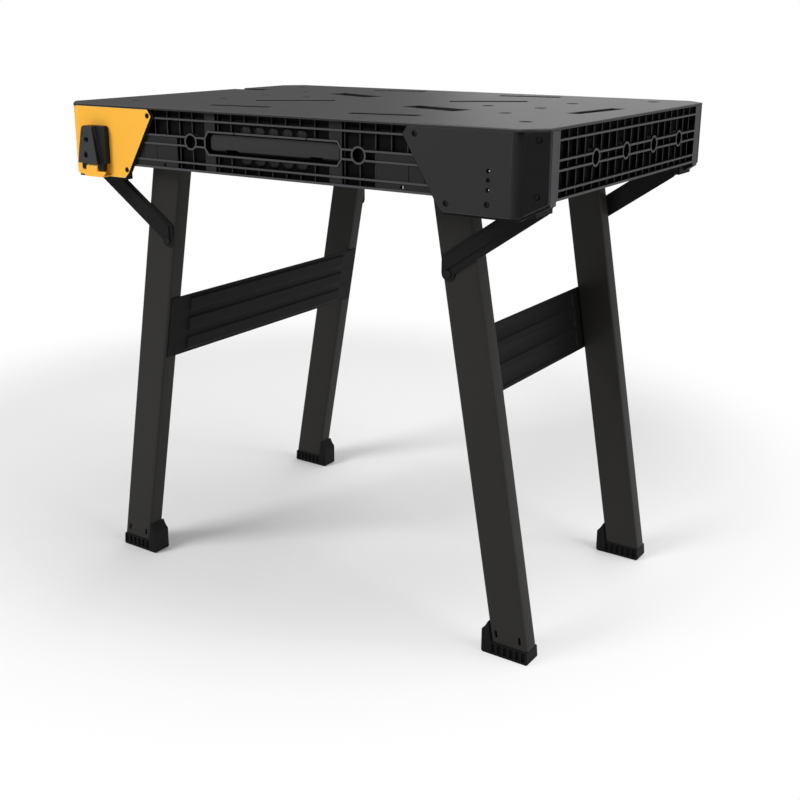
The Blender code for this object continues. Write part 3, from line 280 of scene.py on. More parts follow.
@dataclass(frozen=True)
class PlatedSteel(Finish):
    """Zinc plated or blackened steel: metallic, with fine marks that blur the gloss.

    The marks are drawn at 0.6 mm, coarser than real ones, so that close views show them.
    """

    roughness: float = 0.35
    gloss_spread: Point = (-0.10, 0.15)
    mark_mm: float = 0.6
    mark_depth_mm: float = 0.02
    mark_strength: float = 0.2

    def dress(self, tree: bpy.types.NodeTree, shader: bpy.types.Node,
              place: bpy.types.NodeSocket) -> None:
        """Give the metal its colour, and blur its gloss by the marks.

        Args:
            tree: The material's tree.
            shader: Its shader.
            place: The piece's own coordinates.
        """
        marks = add_node(tree, "ShaderNodeTexNoise", {
            "Vector": place, "Scale": 1.0 / (self.mark_mm * MILLIMETRE), "Detail": 3.0})
        gloss = add_node(tree, "ShaderNodeMapRange", {
            "Value": marks.outputs["Fac"], "To Min": self.roughness + self.gloss_spread[0],
            "To Max": self.roughness + self.gloss_spread[1]})
        bump = add_node(tree, "ShaderNodeBump", {
            "Height": marks.outputs["Fac"], "Strength": self.mark_strength,
            "Distance": self.mark_depth_mm * MILLIMETRE})
        tree.links.new(gloss.outputs["Result"], shader.inputs["Roughness"])
        tree.links.new(bump.outputs["Normal"], shader.inputs["Normal"])
        shader.inputs["Base Color"].default_value = linear(self.colour)
        shader.inputs["Metallic"].default_value = 1.0


# Satin polypropylene: the wide deck takes broad, soft highlights.
DECK = MouldedPlastic("charcoal_polypropylene_deck", "#232324", "#292a2a", 0.46, 0.25)
# The walls hardly shine; painted highlights on the bars and painted shade in the cells make the
# lattice read as dark cells between pale bars.
WALL = MouldedPlastic("black_polypropylene_wall", "#262627", "#2a2a2b", 0.52, 0.08,
                      painted_highlight="#4a4a4c", painted_shade="#040404")
# Smooth ABS; painted highlights on its rounded edges draw thin pale lines round the covers.
COVER = MouldedPlastic("black_abs_cover", "#282829", "#2c2c2d", 0.48, 0.16,
                       painted_highlight="#404042", painted_shade="#040404")
# ABS coloured right through: warm and clean, with painted highlights on its edges and painted
# brown shade in its holes.
YELLOW = MouldedPlastic("yellow_abs_cover", "#f7b33a", "#f9b840", 0.42, 0.20,
                        painted_highlight="#ffcf68", painted_shade="#3a2408")
# Glass filled nylon, worn even where hands hold it.
GRIP = MouldedPlastic("black_nylon_grip", "#2c2c2d", "#313132", 0.45, 0.20,
                      painted_shade="#060606")
# The latch's nylon is darker and smoother, and painted highlights on its edges and band make them
# glint.
LATCH = MouldedPlastic("black_nylon_latch", "#1a1a1b", "#1f1f20", 0.40, 0.22,
                       painted_highlight="#363839", painted_shade="#030303")
# Hard rubber swallows the light; painted highlights on the ribs and painted shade in the pockets
# make the ribs of the feet stand out.
RUBBER = MouldedPlastic("black_rubber_foot", "#0b0b0b", "#0f0f0f", 0.62, 0.14,
                        painted_highlight="#272726", painted_shade="#010101")
# Plain nylon, smooth and dark, on what slides in the tracks.
NYLON = MouldedPlastic("black_nylon_glide", "#161616", "#1b1b1b", 0.45, 0.20)
# Warm black powder coat on drawn tube: long, even tones down the legs.
LEG = PowderCoat("black_powder_coated_tube", "#262523", "#2a2927", 0.42, 0.14)
# The same coat, duller, on thin sheet, where the beads show as soft bands.
PANEL = PowderCoat("black_powder_coated_sheet", "#101010", "#141414", 0.45, 0.08)
# The coat on pressed bands and tracks, a little lighter than on the sheet.
PRESSED = PowderCoat("black_powder_coated_pressing", "#141414", "#181818", 0.45, 0.10)
# Bright zinc plate, which gives the two rivets their glints.
ZINC = PlatedSteel("zinc_plated_steel_pin", "#b9babd")
# Black zinc plate on screws and pins: a dim disc of metal in each hole.
BLACK_ZINC = PlatedSteel("black_zinc_plated_screw", "#2a2a2b", 0.4)


def merged(solids: Iterable[bmesh.types.BMesh]) -> bmesh.types.BMesh:
    """Put several meshes into one.

    Args:
        solids: The meshes, which are used up.

    Returns:
        One mesh with all their faces.
    """
    whole = bmesh.new()
    for solid in solids:
        scratch = bpy.data.meshes.new("scratch")
        solid.to_mesh(scratch)
        solid.free()
        whole.from_mesh(scratch)
        bpy.data.meshes.remove(scratch)
    return whole


def cad_solid(node: str) -> bmesh.types.BMesh:
    """Copy a node of the frame as a welded mesh with its flat faces whole.

    Args:
        node: The node's name.

    Returns:
        The welded copy.
    """
    bm = bmesh.new()
    bm.from_mesh(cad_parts[node].data)
    bmesh.ops.remove_doubles(bm, verts=bm.verts[:], dist=WELD)
    bmesh.ops.dissolve_limit(bm, angle_limit=FLAT_ANGLE, verts=bm.verts[:], edges=bm.edges[:])
    return bm


def prism(outline: Sequence[Point], low: float, high: float, axis: str = "Z") -> bmesh.types.BMesh:
    """Carry an outline along an axis.

    Args:
        outline: Corners in the other two axes, in the order X, Y, Z.
        low: Where the solid starts.
        high: Where it ends.
        axis: The axis that the outline is carried along.

    Returns:
        A closed solid.
    """
    order = {"X": (2, 0, 1), "Y": (0, 2, 1), "Z": (0, 1, 2)}[axis]
    bm = bmesh.new()
    corners = [bm.verts.new([(a, b, low)[index] for index in order]) for a, b in outline]
    grown = bmesh.ops.extrude_face_region(bm, geom=[bm.faces.new(corners)])
    moved = [item for item in grown["geom"] if isinstance(item, bmesh.types.BMVert)]
    bmesh.ops.translate(bm, vec=[(0.0, 0.0, high - low)[index] for index in order], verts=moved)
    bmesh.ops.recalc_face_normals(bm, faces=bm.faces[:])
    return bm


def cuboid(low: Sequence[float], high: Sequence[float]) -> bmesh.types.BMesh:
    """Make a box between two corners, as a cube that is scaled and placed.

    Args:
        low: The corner with the lowest coordinates.
        high: The corner with the highest ones.

    Returns:
        A closed box.
    """
    bm = bmesh.new()
    bmesh.ops.create_cube(bm, size=1.0)
    bmesh.ops.scale(bm, vec=[b - a for a, b in zip(low, high)], verts=bm.verts[:])
    bmesh.ops.translate(bm, vec=[(a + b) / 2 for a, b in zip(low, high)], verts=bm.verts[:])
    return bm


def turned(radii: Sequence[Point], place: Sequence[float], along: Sequence[float],
           segments: int = 24) -> bmesh.types.BMesh:
    """Spin a profile round an axis.

    Args:
        radii: Pairs of radius and distance along the axis.
        place: Where the axis starts.
        along: The direction of the axis.
        segments: Faces round the axis.

    Returns:
        A closed turned solid.
    """
    bm = bmesh.new()
    points = [bm.verts.new((radius, 0.0, height)) for radius, height in radii]
    edges = [bm.edges.new(pair) for pair in zip(points, points[1:])]
    bmesh.ops.spin(bm, geom=points + edges, cent=(0, 0, 0), axis=(0, 0, 1), dvec=(0, 0, 0),
                   angle=math.tau, steps=segments, use_merge=True, use_duplicate=False)
    bmesh.ops.remove_doubles(bm, verts=bm.verts[:], dist=WELD)
    bmesh.ops.holes_fill(bm, edges=[edge for edge in bm.edges if edge.is_boundary], sides=0)
    bmesh.ops.recalc_face_normals(bm, faces=bm.faces[:])
    turn = Vector(along).to_track_quat("Z", "Y").to_matrix().to_4x4()
    bmesh.ops.transform(bm, matrix=Matrix.Translation(place) @ turn, verts=bm.verts[:])
    return bm


def convex_faces(bm: bmesh.types.BMesh) -> bmesh.types.BMesh:
    """Split the faces that run round openings into convex ones, which rounding can't tear."""
    bmesh.ops.connect_verts_concave(bm, faces=[face for face in bm.faces if len(face.verts) > 4])
    return bm


def soften(bm: bmesh.types.BMesh, width: float, segments: int = 2,
           above: float = -math.inf) -> bmesh.types.BMesh:
    """Round the outer edges of a solid, so that they catch the light.

    Args:
        bm: The solid.
        width: Width of the rounding.
        segments: Faces across the rounding.
        above: Height that a rounded edge lies over.

    Returns:
        The same solid.
    """
    edges = [edge for edge in bm.edges
             if edge.is_manifold and edge.is_convex and edge.calc_face_angle() > EDGE_ANGLE
             and edge.calc_length() > 2 * width and min(vert.co.z for vert in edge.verts) > above]
    bmesh.ops.bevel(bm, geom=edges, offset=width, offset_type="OFFSET", segments=segments,
                    profile=0.5, affect="EDGES", clamp_overlap=False, material=-1)
    bmesh.ops.remove_doubles(bm, verts=bm.verts[:], dist=WELD)
    return bm


def carved(bm: bmesh.types.BMesh, tool: bmesh.types.BMesh,
           operation: str = "DIFFERENCE") -> bmesh.types.BMesh:
    """Cut one solid with another, or join them.

    Args:
        bm: The solid, which is used up.
        tool: The cutting solid, which is used up.
        operation: DIFFERENCE, UNION or INTERSECT.

    Returns:
        The result, with its flat faces whole.
    """
    made = []
    for name, solid in (("carved_body", bm), ("carving_tool", tool)):
        mesh = bpy.data.meshes.new(name)
        solid.to_mesh(mesh)
        solid.free()
        piece = bpy.data.objects.new(name, mesh)
        bpy.context.scene.collection.objects.link(piece)
        made.append(piece)
    body, cutter = made
    modifier = body.modifiers.new("cut", "BOOLEAN")
    modifier.operation = operation
    modifier.solver = "EXACT"
    modifier.object = cutter
    graph = bpy.context.evaluated_depsgraph_get()
    result = bmesh.new()
    result.from_object(body, graph)
    for piece in made:
        mesh = piece.data
        bpy.data.objects.remove(piece)
        bpy.data.meshes.remove(mesh)
    bmesh.ops.remove_doubles(result, verts=result.verts[:], dist=WELD)
    bmesh.ops.dissolve_limit(result, angle_limit=FLAT_ANGLE, verts=result.verts[:],
                             edges=result.edges[:])
    return result


def add_piece(name: str, bm: bmesh.types.BMesh, material: bpy.types.Material, body: str,
              slot: Slot, stands_for: Sequence[str] = (),
              painted_light: Optional[PaintedLight] = None) -> bpy.types.Object:
    """Make a finished piece of a mesh and attach it to the frame.

    Args:
        name: The piece's name.
        bm: Its mesh in the frame's coordinates, which is used up.
        material: Its material.
        body: The body that it rides on.
        slot: The record's slot of its finish; not used.
        stands_for: Nodes that it replaces.
        painted_light: Gives each face, by its middle and its normal, how much painted highlight or
            painted shade it gets.

    Returns:
        The piece.
    """
    mesh = bpy.data.meshes.new(name)
    bm.to_mesh(mesh)
    bm.free()
    piece = bpy.data.objects.new(name, mesh)
    bpy.context.scene.collection.objects.link(piece)
    mesh.materials.clear()
    mesh.materials.append(material)
    for polygon in mesh.polygons:
        polygon.material_index = 0
    if painted_light is not None:
        layer = mesh.attributes.new(PAINTED_LIGHT, "FLOAT", "FACE")
        layer.data.foreach_set(
            "value", [painted_light(polygon.center, polygon.normal) for polygon in mesh.polygons])
    mesh.shade_smooth()
    mesh.set_sharp_from_angle(angle=SMOOTH_ANGLE)
    normals = piece.modifiers.new("weighted_normals", "WEIGHTED_NORMAL")
    normals.keep_sharp = True
    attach(piece, body)
    if stands_for:
        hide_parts(*stands_for)
    LOG.info("%s: %d faces on %s", name, len(mesh.polygons), body)
    return piece


def dress_node(node: str, material: bpy.types.Material) -> None:
    """Give a node of the frame its material.

    Args:
        node: The node's name.
        material: The material.
    """
    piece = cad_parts[node]
    piece.data.materials.clear()
    piece.data.materials.append(material)
    for polygon in piece.data.polygons:
        polygon.material_index = 0
    LOG.info("%s keeps its solid", node)


def lattice_painted_light(node: str, axis: int, sign: int) -> PaintedLight:
    """Paint highlights on a lattice wall's bars and ribs, and painted shade in its pockets.

    Args:
        node: The wall's node, whose box gives the outer face.
        axis: The axis that the wall faces along.
        sign: Which way it faces.

    Returns:
        The painted light of a face by its depth behind the outer face.
    """
    face = max(sign * corner[axis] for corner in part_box(node))

    def painted_light(centre: Vector, normal: Vector) -> float:
        """Return the painted light of one face."""
        depth = (face - sign * centre[axis]) / MILLIMETRE
        if sign * normal[axis] > TURNED:
            for limit, value in LATTICE_STEPS:
                if depth < limit:
                    return value
        # Faces deeper than the ribs, and faces turned sideways, get full painted shade.
        return 1.0

    return painted_light


def disc(place: Sequence[float], along: Sequence[float], radius: float, depth: float,
         sides: int = 24) -> bmesh.types.BMesh:
    """Make a short round cutter that starts at a place and runs along a direction."""
    return turned(((0.0, 0.0), (radius, 0.0), (radius, depth), (0.0, depth)), place, along, sides)


@dataclass
class Body:
    """The plastic body: deck, four walls, grip, guard and finger rests."""

    deck_rounding: float = 0.0008
    deck_border: float = 0.02
    # Painted highlight on the deck's upper edges, and painted shade in its holes.
    deck_edge_highlight: float = -0.45
    deck_hole_shade: float = 0.8
    wall_rounding: float = 0.0005
    grip_rounding: float = 0.0015
    grip_shade: float = 0.75
    rest_pitch: float = 0.0263
    rests_each_side: int = 2
    rest_half_width: float = 0.0112
    rest_height: float = 0.0118
    rest_depth: float = 0.0068
    pocket_depth: float = 0.009
    clearing_half_length: float = 0.066
    upper_gap: Point = (0.7693, 0.7812)
    lower_gap: Point = (0.7195, 0.7312)
    notch_places: Point = (-0.0691, 0.0679)
    notch_half_width: float = 0.0013
    notch_heights: Point = (0.7655, 0.7695)
    notch_depth: float = 0.0012
    hole_places: tuple[Point, ...] = ((-0.2158, 0.7112), (0.2296, 0.7117))
    hole_half_width: float = 0.0022
    wall_thickness: float = 0.0115
    skin: float = 0.004
    seam_places: tuple[float, ...] = (-0.2613, -0.2322, 0.2409, 0.2666)
    seam_half_width: float = 0.0004
    seam_depths: Point = (0.0012, 0.0024)
    seam_heights: Point = (0.7202, 0.7414)

    def build(self) -> None:
        """Make every piece of the body."""
        deck_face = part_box("top_deck")[1].z
        add_piece("deck_top", soften(cad_solid("top_deck"), self.deck_rounding, 2,
                                     deck_face - 0.1 * MILLIMETRE),
                  DECK.material(), BENCH, Slot.CHARCOAL, ["top_deck"], self.deck_painted_light)
        add_piece("front_wall", soften(convex_faces(self.front_wall()), self.wall_rounding),
                  WALL.material(), BENCH, Slot.BLACK, ["front_rail"],
                  lattice_painted_light("front_rail", 1, -1))
        for node, name, axis, sign in (("rear_rail", "rear_wall", 1, 1),
                                       ("left_end_rail", "left_wall", 0, -1),
                                       ("right_end_rail", "right_wall", 0, 1)):
            add_piece(name, soften(convex_faces(cad_solid(node)), self.wall_rounding),
                      WALL.material(), BENCH, Slot.BLACK, [node], lattice_painted_light(node, axis, sign))
        add_piece("carry_grip", soften(cad_solid("handle_grip"), self.grip_rounding, 3),
                  GRIP.material(), BENCH, Slot.BLACK, ["handle_grip"], self.grip_painted_light)
        # The guard gets full painted shade on every face.
        add_piece("grip_guard", soften(cad_solid("handle_guard"), self.wall_rounding),
                  WALL.material(), BENCH, Slot.BLACK, ["handle_guard"], lambda *_: 1.0)
        add_piece("finger_rests", self.finger_rests(), WALL.material(), BENCH, Slot.BLACK, (),
                  self.rest_painted_light)

    def deck_painted_light(self, centre: Vector, normal: Vector) -> float:
        """Paint highlights on the deck's upper edges and painted shade on the walls of its holes
        and slots.

        Args:
            centre: The face's middle.
            normal: Its normal.

        Returns:
            Its painted highlight or shade.
        """
        if normal.z > TURNED:
            return self.deck_edge_highlight if normal.z < SQUARELY else 0.0
        low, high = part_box("top_deck")
        edge = min(centre.x - low.x, high.x - centre.x, centre.y - low.y, high.y - centre.y)
        return 0.0 if edge < self.deck_border else self.deck_hole_shade

    def grip_painted_light(self, centre: Vector, normal: Vector) -> float:
        """Paint shade on the chamfer and the finger notches below the grip."""
        return self.grip_shade if normal.z < -0.3 else 0.0

    def rest_painted_light(self, centre: Vector, normal: Vector) -> float:
        """Paint a highlight on the right sides of the finger rests, and shade on the rest that
        darkens as they turn left.
        """
        return -0.5 if normal.x > 0.5 else max(0.0, 0.5 - 1.6 * normal.x)

    def front_wall(self) -> bmesh.types.BMesh:
        """Cut room for the finger rests, notches, seams and square holes into the front wall.

        Returns:
            The wall.
        """
        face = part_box("front_rail")[0][1]
        outside = face - MILLIMETRE
        floor = face + self.pocket_depth - 0.1 * MILLIMETRE
        tools = []
        for low, high in (self.upper_gap, self.lower_gap):
            tools.append(cuboid((-self.clearing_half_length, outside, low),
                                (self.clearing_half_length, floor, high)))
        for x in self.notch_places:
            tools.append(cuboid((x - self.notch_half_width, outside, self.notch_heights[0]),
                                (x + self.notch_half_width, face + self.notch_depth,
                                 self.notch_heights[1])))
        half, behind = self.hole_half_width, face + self.wall_thickness + MILLIMETRE
        for x, z in self.hole_places:
            tools.append(cuboid((x - half, outside, z - half), (x + half, behind, z + half)))
            tools.append(cuboid((x - 2 * half, face + self.skin, z - 2 * half),
                                (x + 2 * half, behind, z + 1.5 * half)))
        for x in self.seam_places:
            tools.append(cuboid(
                (x - self.seam_half_width, face + self.seam_depths[0], self.seam_heights[0]),
                (x + self.seam_half_width, face + self.seam_depths[1], self.seam_heights[1])))
        wall = cad_solid("front_rail")
        for tool in tools:
            wall = carved(wall, tool)
        return wall

    def finger_rests(self) -> bmesh.types.BMesh:
        """Make two rows of half domes above and below the handle's frame.

        Returns:
            All the domes, each cut flat at the frame and at the wall's floor.
        """
        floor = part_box("front_rail")[0][1] + self.pocket_depth
        domes = []
        for start, up in ((self.upper_gap[0], 1.0), (self.lower_gap[1], -1.0)):
            for index in range(-self.rests_each_side, self.rests_each_side + 1):
                dome = bmesh.new()
                bmesh.ops.create_uvsphere(dome, u_segments=32, v_segments=20, radius=1.0)
                bmesh.ops.scale(dome, verts=dome.verts[:], vec=(
                    self.rest_half_width, self.rest_depth, self.rest_height))
                bmesh.ops.translate(dome, verts=dome.verts[:],
                                    vec=(index * self.rest_pitch, floor, start))
                for point, normal in (((0, 0, start), (0, 0, -up)), ((0, floor, 0), (0, 1, 0))):
                    bmesh.ops.bisect_plane(
                        dome, geom=dome.verts[:] + dome.edges[:] + dome.faces[:], dist=WELD,
                        plane_co=point, plane_no=normal, clear_outer=True)
                    open_edges = [edge for edge in dome.edges if edge.is_boundary]
                    bmesh.ops.holes_fill(dome, edges=open_edges, sides=0)
                bmesh.ops.recalc_face_normals(dome, faces=dome.faces[:])
                domes.append(dome)
        return merged(domes)


@dataclass
class Corners:
    """The corner covers with their screws, and the blocks behind them."""

    rounding: float = 0.0012
    rounding_segments: int = 3
    cut: float = 0.030
    cut_rounding: float = 0.010
    cut_segments: int = 14
    block_rounding: float = 0.0006
    block_end: float = 0.4395
    bore_radius: float = 0.0043
    bore_depth: float = 0.0026
    head_radius: float = 0.0030
    head_depth: float = 0.0014
    head_dome: float = 0.0004
    socket_radius: float = 0.0012
    socket_depth: float = 0.0009
    front_screws: tuple[Point, ...] = ((0.2544, 0.7861), (0.3046, 0.6973), (0.3666, 0.7010))
    yellow_screws: tuple[Point, ...] = ((0.2423, 0.7861), (0.2937, 0.6986))
    cut_screws: Point = (0.7853, 0.7132)
    cut_screws_from_end: float = 0.0109
    gauge_holes: tuple[float, ...] = (0.7445, 0.7327, 0.7199)
    riveted_holes: tuple[int, ...] = (0, 2)
    gauge_x: float = 0.3675
    gauge_radius: float = 0.0032
    rivet_radius: float = 0.0012
    rivet_depth: float = 0.0008
    face_on: float = 0.985
    # Painted highlights on the covers' edges, and painted shade on their sides and cut corners.
    edge_highlight: float = -0.35
    yellow_edge_highlight: float = -0.9
    side_shade: float = 0.85
    cut_shade: float = 0.9
    # Painted highlight on the blocks' end faces, and painted shade elsewhere.
    block_end_highlight: float = -0.8
    block_shade: float = 0.75

    def build(self) -> None:
        """Make the covers and the blocks of all four corners."""
        for side in Side:
            for end in End:
                self.build_corner(side, end)

    def is_yellow(self, side: Side, end: End) -> bool:
        """Tell the yellow corner, at the front left, from the black ones."""
        return side is Side.LEFT and end is End.FRONT

    def build_corner(self, side: Side, end: End) -> None:
        """Make one cover with its screws, and the block behind it.

        Args:
            side: The end of the bench that it is on.
            end: Front or rear.
        """
        corner = f"{end.name.lower()}_{side.name.lower()}"
        node = f"corner_plate_{corner}"
        cover = soften(self.blended_corner(node, side, end), self.rounding, self.rounding_segments)
        bores = self.screw_places(node, side, end)
        heads = [self.screw_head(place, inward) for place, inward in bores]
        for place, inward in bores:
            cover = carved(cover, self.bore(place, inward, self.bore_radius))
        rivets = []
        if side is Side.RIGHT and end is End.FRONT:
            for index, z in enumerate(self.gauge_holes):
                place = Vector((self.gauge_x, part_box(node)[0].y, z))
                cover = carved(cover, self.bore(place, TO_REAR, self.gauge_radius))
                bores.append((place, TO_REAR))
                if index in self.riveted_holes:
                    rivets.append(self.rivet(place, TO_REAR))
        yellow = self.is_yellow(side, end)
        add_piece(f"corner_cover_{corner}", cover, (YELLOW if yellow else COVER).material(), BENCH,
                  Slot.YELLOW if yellow else Slot.BLACK, [node],
                  self.cover_painted_light(node, side, end, bores))
        add_piece(f"cover_screws_{corner}", merged(heads), BLACK_ZINC.material(), BENCH, Slot.ZINC)
        if rivets:
            add_piece(f"gauge_rivets_{corner}", merged(rivets), ZINC.material(), BENCH, Slot.ZINC)
        block = f"corner_housing_{corner}"
        add_piece(f"corner_block_{corner}", soften(cad_solid(block), self.block_rounding),
                  WALL.material(), BENCH, Slot.BLACK, [block], self.block_painted_light)

    def screw_places(self, node: str, side: Side, end: End) -> list[tuple[Vector, Vector]]:
        """Find where each screw's hole starts, and the way that it goes in.

        Args:
            node: The cover's node.
            side: The end of the bench that it is on.
            end: Front or rear.

        Returns:
            Pairs of a place and a direction.
        """
        low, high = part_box(node)
        face = low.y if end is End.FRONT else high.y
        screws = self.yellow_screws if self.is_yellow(side, end) else self.front_screws
        places = [(Vector((side.value * x, face, z)), -end.value * TO_REAR) for x, z in screws]
        end_x = high.x if side is Side.RIGHT else low.x
        x = end_x - side.value * self.cut_screws_from_end
        y = face - end.value * (self.cut - self.cut_screws_from_end)
        slanted = Vector((-side.value, -end.value, 0.0)).normalized()
        return places + [(Vector((x, y, z)), slanted) for z in self.cut_screws]

    def bore(self, place: Vector, inward: Vector, radius: float) -> bmesh.types.BMesh:
        """Make the cutter of a hole, which starts in front of the cover's face."""
        return disc(place - inward * MILLIMETRE, inward, radius, self.bore_depth + MILLIMETRE)

    def screw_head(self, place: Vector, inward: Vector) -> bmesh.types.BMesh:
        """Make a domed screw head with a socket, set below the cover's face.

        Args:
            place: Where the screw's hole starts.
            inward: The way that it goes in.

        Returns:
            The head.
        """
        crown, foot = self.head_depth, self.bore_depth - 0.2 * MILLIMETRE
        floor = crown + self.socket_depth
        profile = ((0.0, floor), (self.socket_radius, floor), (self.socket_radius, crown),
                   (0.8 * self.head_radius, crown + 0.1 * MILLIMETRE),
                   (self.head_radius, crown + self.head_dome),
                   (self.head_radius, foot), (0.0, foot))
        return turned(profile, place, inward, 20)

    def rivet(self, place: Vector, inward: Vector) -> bmesh.types.BMesh:
        """Make the bright tip of the rivet in a gauge hole, off to its right.

        Args:
            place: Where the hole starts.
            inward: The way that it goes in.

        Returns:
            The tip.
        """
        centre = place + Vector((self.gauge_radius / 2.4, 0.0, 0.0))
        crown, foot = self.rivet_depth, self.bore_depth - 0.1 * MILLIMETRE
        profile = ((0.0, crown), (0.7 * self.rivet_radius, crown + 0.1 * MILLIMETRE),
                   (self.rivet_radius, crown + 0.4 * MILLIMETRE),
                   (self.rivet_radius, foot), (0.0, foot))
        return turned(profile, centre, inward, 16)

    def blended_corner(self, node: str, side: Side, end: End) -> bmesh.types.BMesh:
        """Turn a cover's face into its cut corner in a wide round.

        Args:
            node: The cover's node.
            side: The end of the bench that it is on.
            end: Front or rear.

        Returns:
            The rounded cover.
        """
        low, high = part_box(node)
        face = low.y if end is End.FRONT else high.y
        turn_x = (high.x if side is Side.RIGHT else low.x) - side.value * self.cut
        cover = cad_solid(node)
        edges = [edge for edge in cover.edges
                 if all(abs(vert.co.x - turn_x) < MILLIMETRE and abs(vert.co.y - face) < MILLIMETRE
                        for vert in edge.verts)]
        bmesh.ops.bevel(cover, geom=edges, offset=self.cut_rounding, offset_type="OFFSET",
                        segments=self.cut_segments, profile=0.5, affect="EDGES",
                        clamp_overlap=True, material=-1)
        return cover

    def in_bore(self, place: Vector, bores: Sequence[tuple[Vector, Vector]]) -> bool:
        """Tell whether a place lies in one of the holes.

        Args:
            place: The place.
            bores: The holes' starts and directions.

        Returns:
            True in a hole.
        """
        for start, inward in bores:
            across = place - start
            depth = across.dot(inward)
            reach = (across - inward * depth).length
            if depth > 0.1 * MILLIMETRE and reach < 1.02 * self.bore_radius:
                return True
        return False

    def cover_painted_light(self, node: str, side: Side, end: End,
                     bores: Sequence[tuple[Vector, Vector]]) -> PaintedLight:
        """Paint shade in a cover's bores, on its cut corner and on its side faces, and highlights
        on its edges, leaving its face plain.

        Args:
            node: The cover's node.
            side: The end of the bench that it is on.
            end: Front or rear.
            bores: The holes' starts and directions.

        Returns:
            The painted light of a face of the cover.
        """
        low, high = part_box(node)
        yellow = self.is_yellow(side, end)
        tip = max(side.value * low.x, side.value * high.x)
        straight = math.sqrt(0.5)

        def painted_light(centre: Vector, normal: Vector) -> float:
            """Return the painted light of one face."""
            # Bores get full painted shade.
            if self.in_bore(centre, bores):
                return 1.0
            facing = normal.y * end.value
            slanted = (normal.x * side.value + facing) * straight
            from_tip = tip - side.value * centre.x
            # The black cut corner gets painted shade, which stands in for the dark reflection it
            # would show.
            if from_tip < self.cut + self.cut_rounding and slanted > 0.6:
                if yellow or abs(normal.z) > 0.2:
                    return 0.0
                return self.cut_shade * (slanted - straight) / (1 - straight)
            if facing > self.face_on:
                return 0.0
            # Rounded edges get a painted highlight, and faces turned aside get painted shade.
            if facing > 0.1:
                return self.yellow_edge_highlight if yellow else self.edge_highlight
            return self.side_shade

        return painted_light

    def block_painted_light(self, centre: Vector, normal: Vector) -> float:
        """Paint a highlight on the blocks' end faces and shade on the rest."""
        at_end = abs(normal.x) > MOSTLY and abs(centre.x) > self.block_end
        return self.block_end_highlight if at_end else self.block_shade


@dataclass
class Latch:
    """The latch of the yellow corner: hood, lever and pin."""

    rounding: float = 0.0009
    rounding_segments: int = 3
    hole_depth: float = 0.006
    hole_sides: int = 28
    upper_hole: Point = (-0.3620, 0.7443)
    upper_hole_size: Point = (0.0055, 0.0047)
    lower_hole: Point = (-0.3645, 0.7200)
    lower_hole_size: Point = (0.0043, 0.0057)
    field_low: Point = (-0.3700, 0.7515)
    field_high: Point = (-0.3545, 0.7570)
    field_depth: float = 0.0006
    band_depth: float = 0.002
    # Painted highlights on the lever's raised band and edges, and painted shade on its sides.
    band_highlight: float = -0.9
    edge_highlight: float = -0.5
    side_shade: float = 0.8
    skirt_heights: Point = (0.6852, 0.6938)
    skirt_top: Point = (-0.3814, -0.3240)
    skirt_low: Point = (-0.3724, -0.3330)
    skirt_wall: float = 0.0012
    skirt_rounding: float = 0.0005
    # Painted highlight on the hood's rounded and slanted faces.
    hood_highlight: float = -0.6

    def build(self) -> None:
        """Make the hood and the lever and dress the pin."""
        add_piece("latch_hood", self.hood(), YELLOW.material(),
                  BENCH, Slot.YELLOW, ["latch_base"], self.hood_painted_light)
        add_piece("latch_handle", self.lever(), LATCH.material(), "latch_lever", Slot.BLACK,
                  ["latch_lever"], self.lever_painted_light)
        dress_node("latch_pin", BLACK_ZINC.material())

    def hood(self) -> bmesh.types.BMesh:
        """Add a rounded skirt to the hood, which ends below the path of the lever's ears.

        Returns:
            The hood with its skirt.
        """
        low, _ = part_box("latch_base")
        bottom, top = self.skirt_heights
        outline = ((self.skirt_top[0], top), (self.skirt_top[1], top),
                   (self.skirt_low[1], bottom), (self.skirt_low[0], bottom))
        front = low.y + 0.1 * MILLIMETRE
        skirt = soften(prism(outline, front, front + self.skirt_wall, "Y"), self.skirt_rounding,
                       self.rounding_segments)
        return merged([cad_solid("latch_base"), skirt])

    def lever(self) -> bmesh.types.BMesh:
        """Cut two finger holes and a shallow field into the lever's raised band.

        Returns:
            The lever.
        """
        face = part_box("latch_lever")[0].y
        lever = soften(cad_solid("latch_lever"), self.rounding, self.rounding_segments)
        for (x, z), (half_x, half_z) in ((self.upper_hole, self.upper_hole_size),
                                         (self.lower_hole, self.lower_hole_size)):
            tool = disc((0.0, 0.0, 0.0), TO_REAR, 1.0, 1.0, self.hole_sides)
            bmesh.ops.scale(tool, verts=tool.verts[:],
                            vec=(half_x, self.hole_depth + MILLIMETRE, half_z))
            bmesh.ops.translate(tool, verts=tool.verts[:], vec=(x, face - MILLIMETRE, z))
            lever = carved(lever, tool)
        (x_low, z_low), (x_high, z_high) = self.field_low, self.field_high
        return carved(lever, cuboid((x_low, face - MILLIMETRE, z_low),
                                    (x_high, face + self.field_depth, z_high)))

    def lever_painted_light(self, centre: Vector, normal: Vector) -> float:
        """Paint shade in the holes and on the faces turned away from the front, and highlights on
        the raised band and the edges.

        Args:
            centre: The face's middle.
            normal: Its normal.

        Returns:
            Its painted highlight or shade.
        """
        depth = centre.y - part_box("latch_lever")[0].y
        if normal.y < -MOSTLY:
            if depth < self.band_depth:
                return self.band_highlight
            return 1.0 if abs(depth - self.hole_depth) < MILLIMETRE else 0.0
        return self.edge_highlight if normal.y < -0.3 else self.side_shade

    def hood_painted_light(self, centre: Vector, normal: Vector) -> float:
        """Paint a highlight on the hood's rounded and slanted faces and leave the level and
        upright ones plain.
        """
        return 0.0 if abs(normal.z) > MOSTLY or abs(normal.y) > MOSTLY else self.hood_highlight


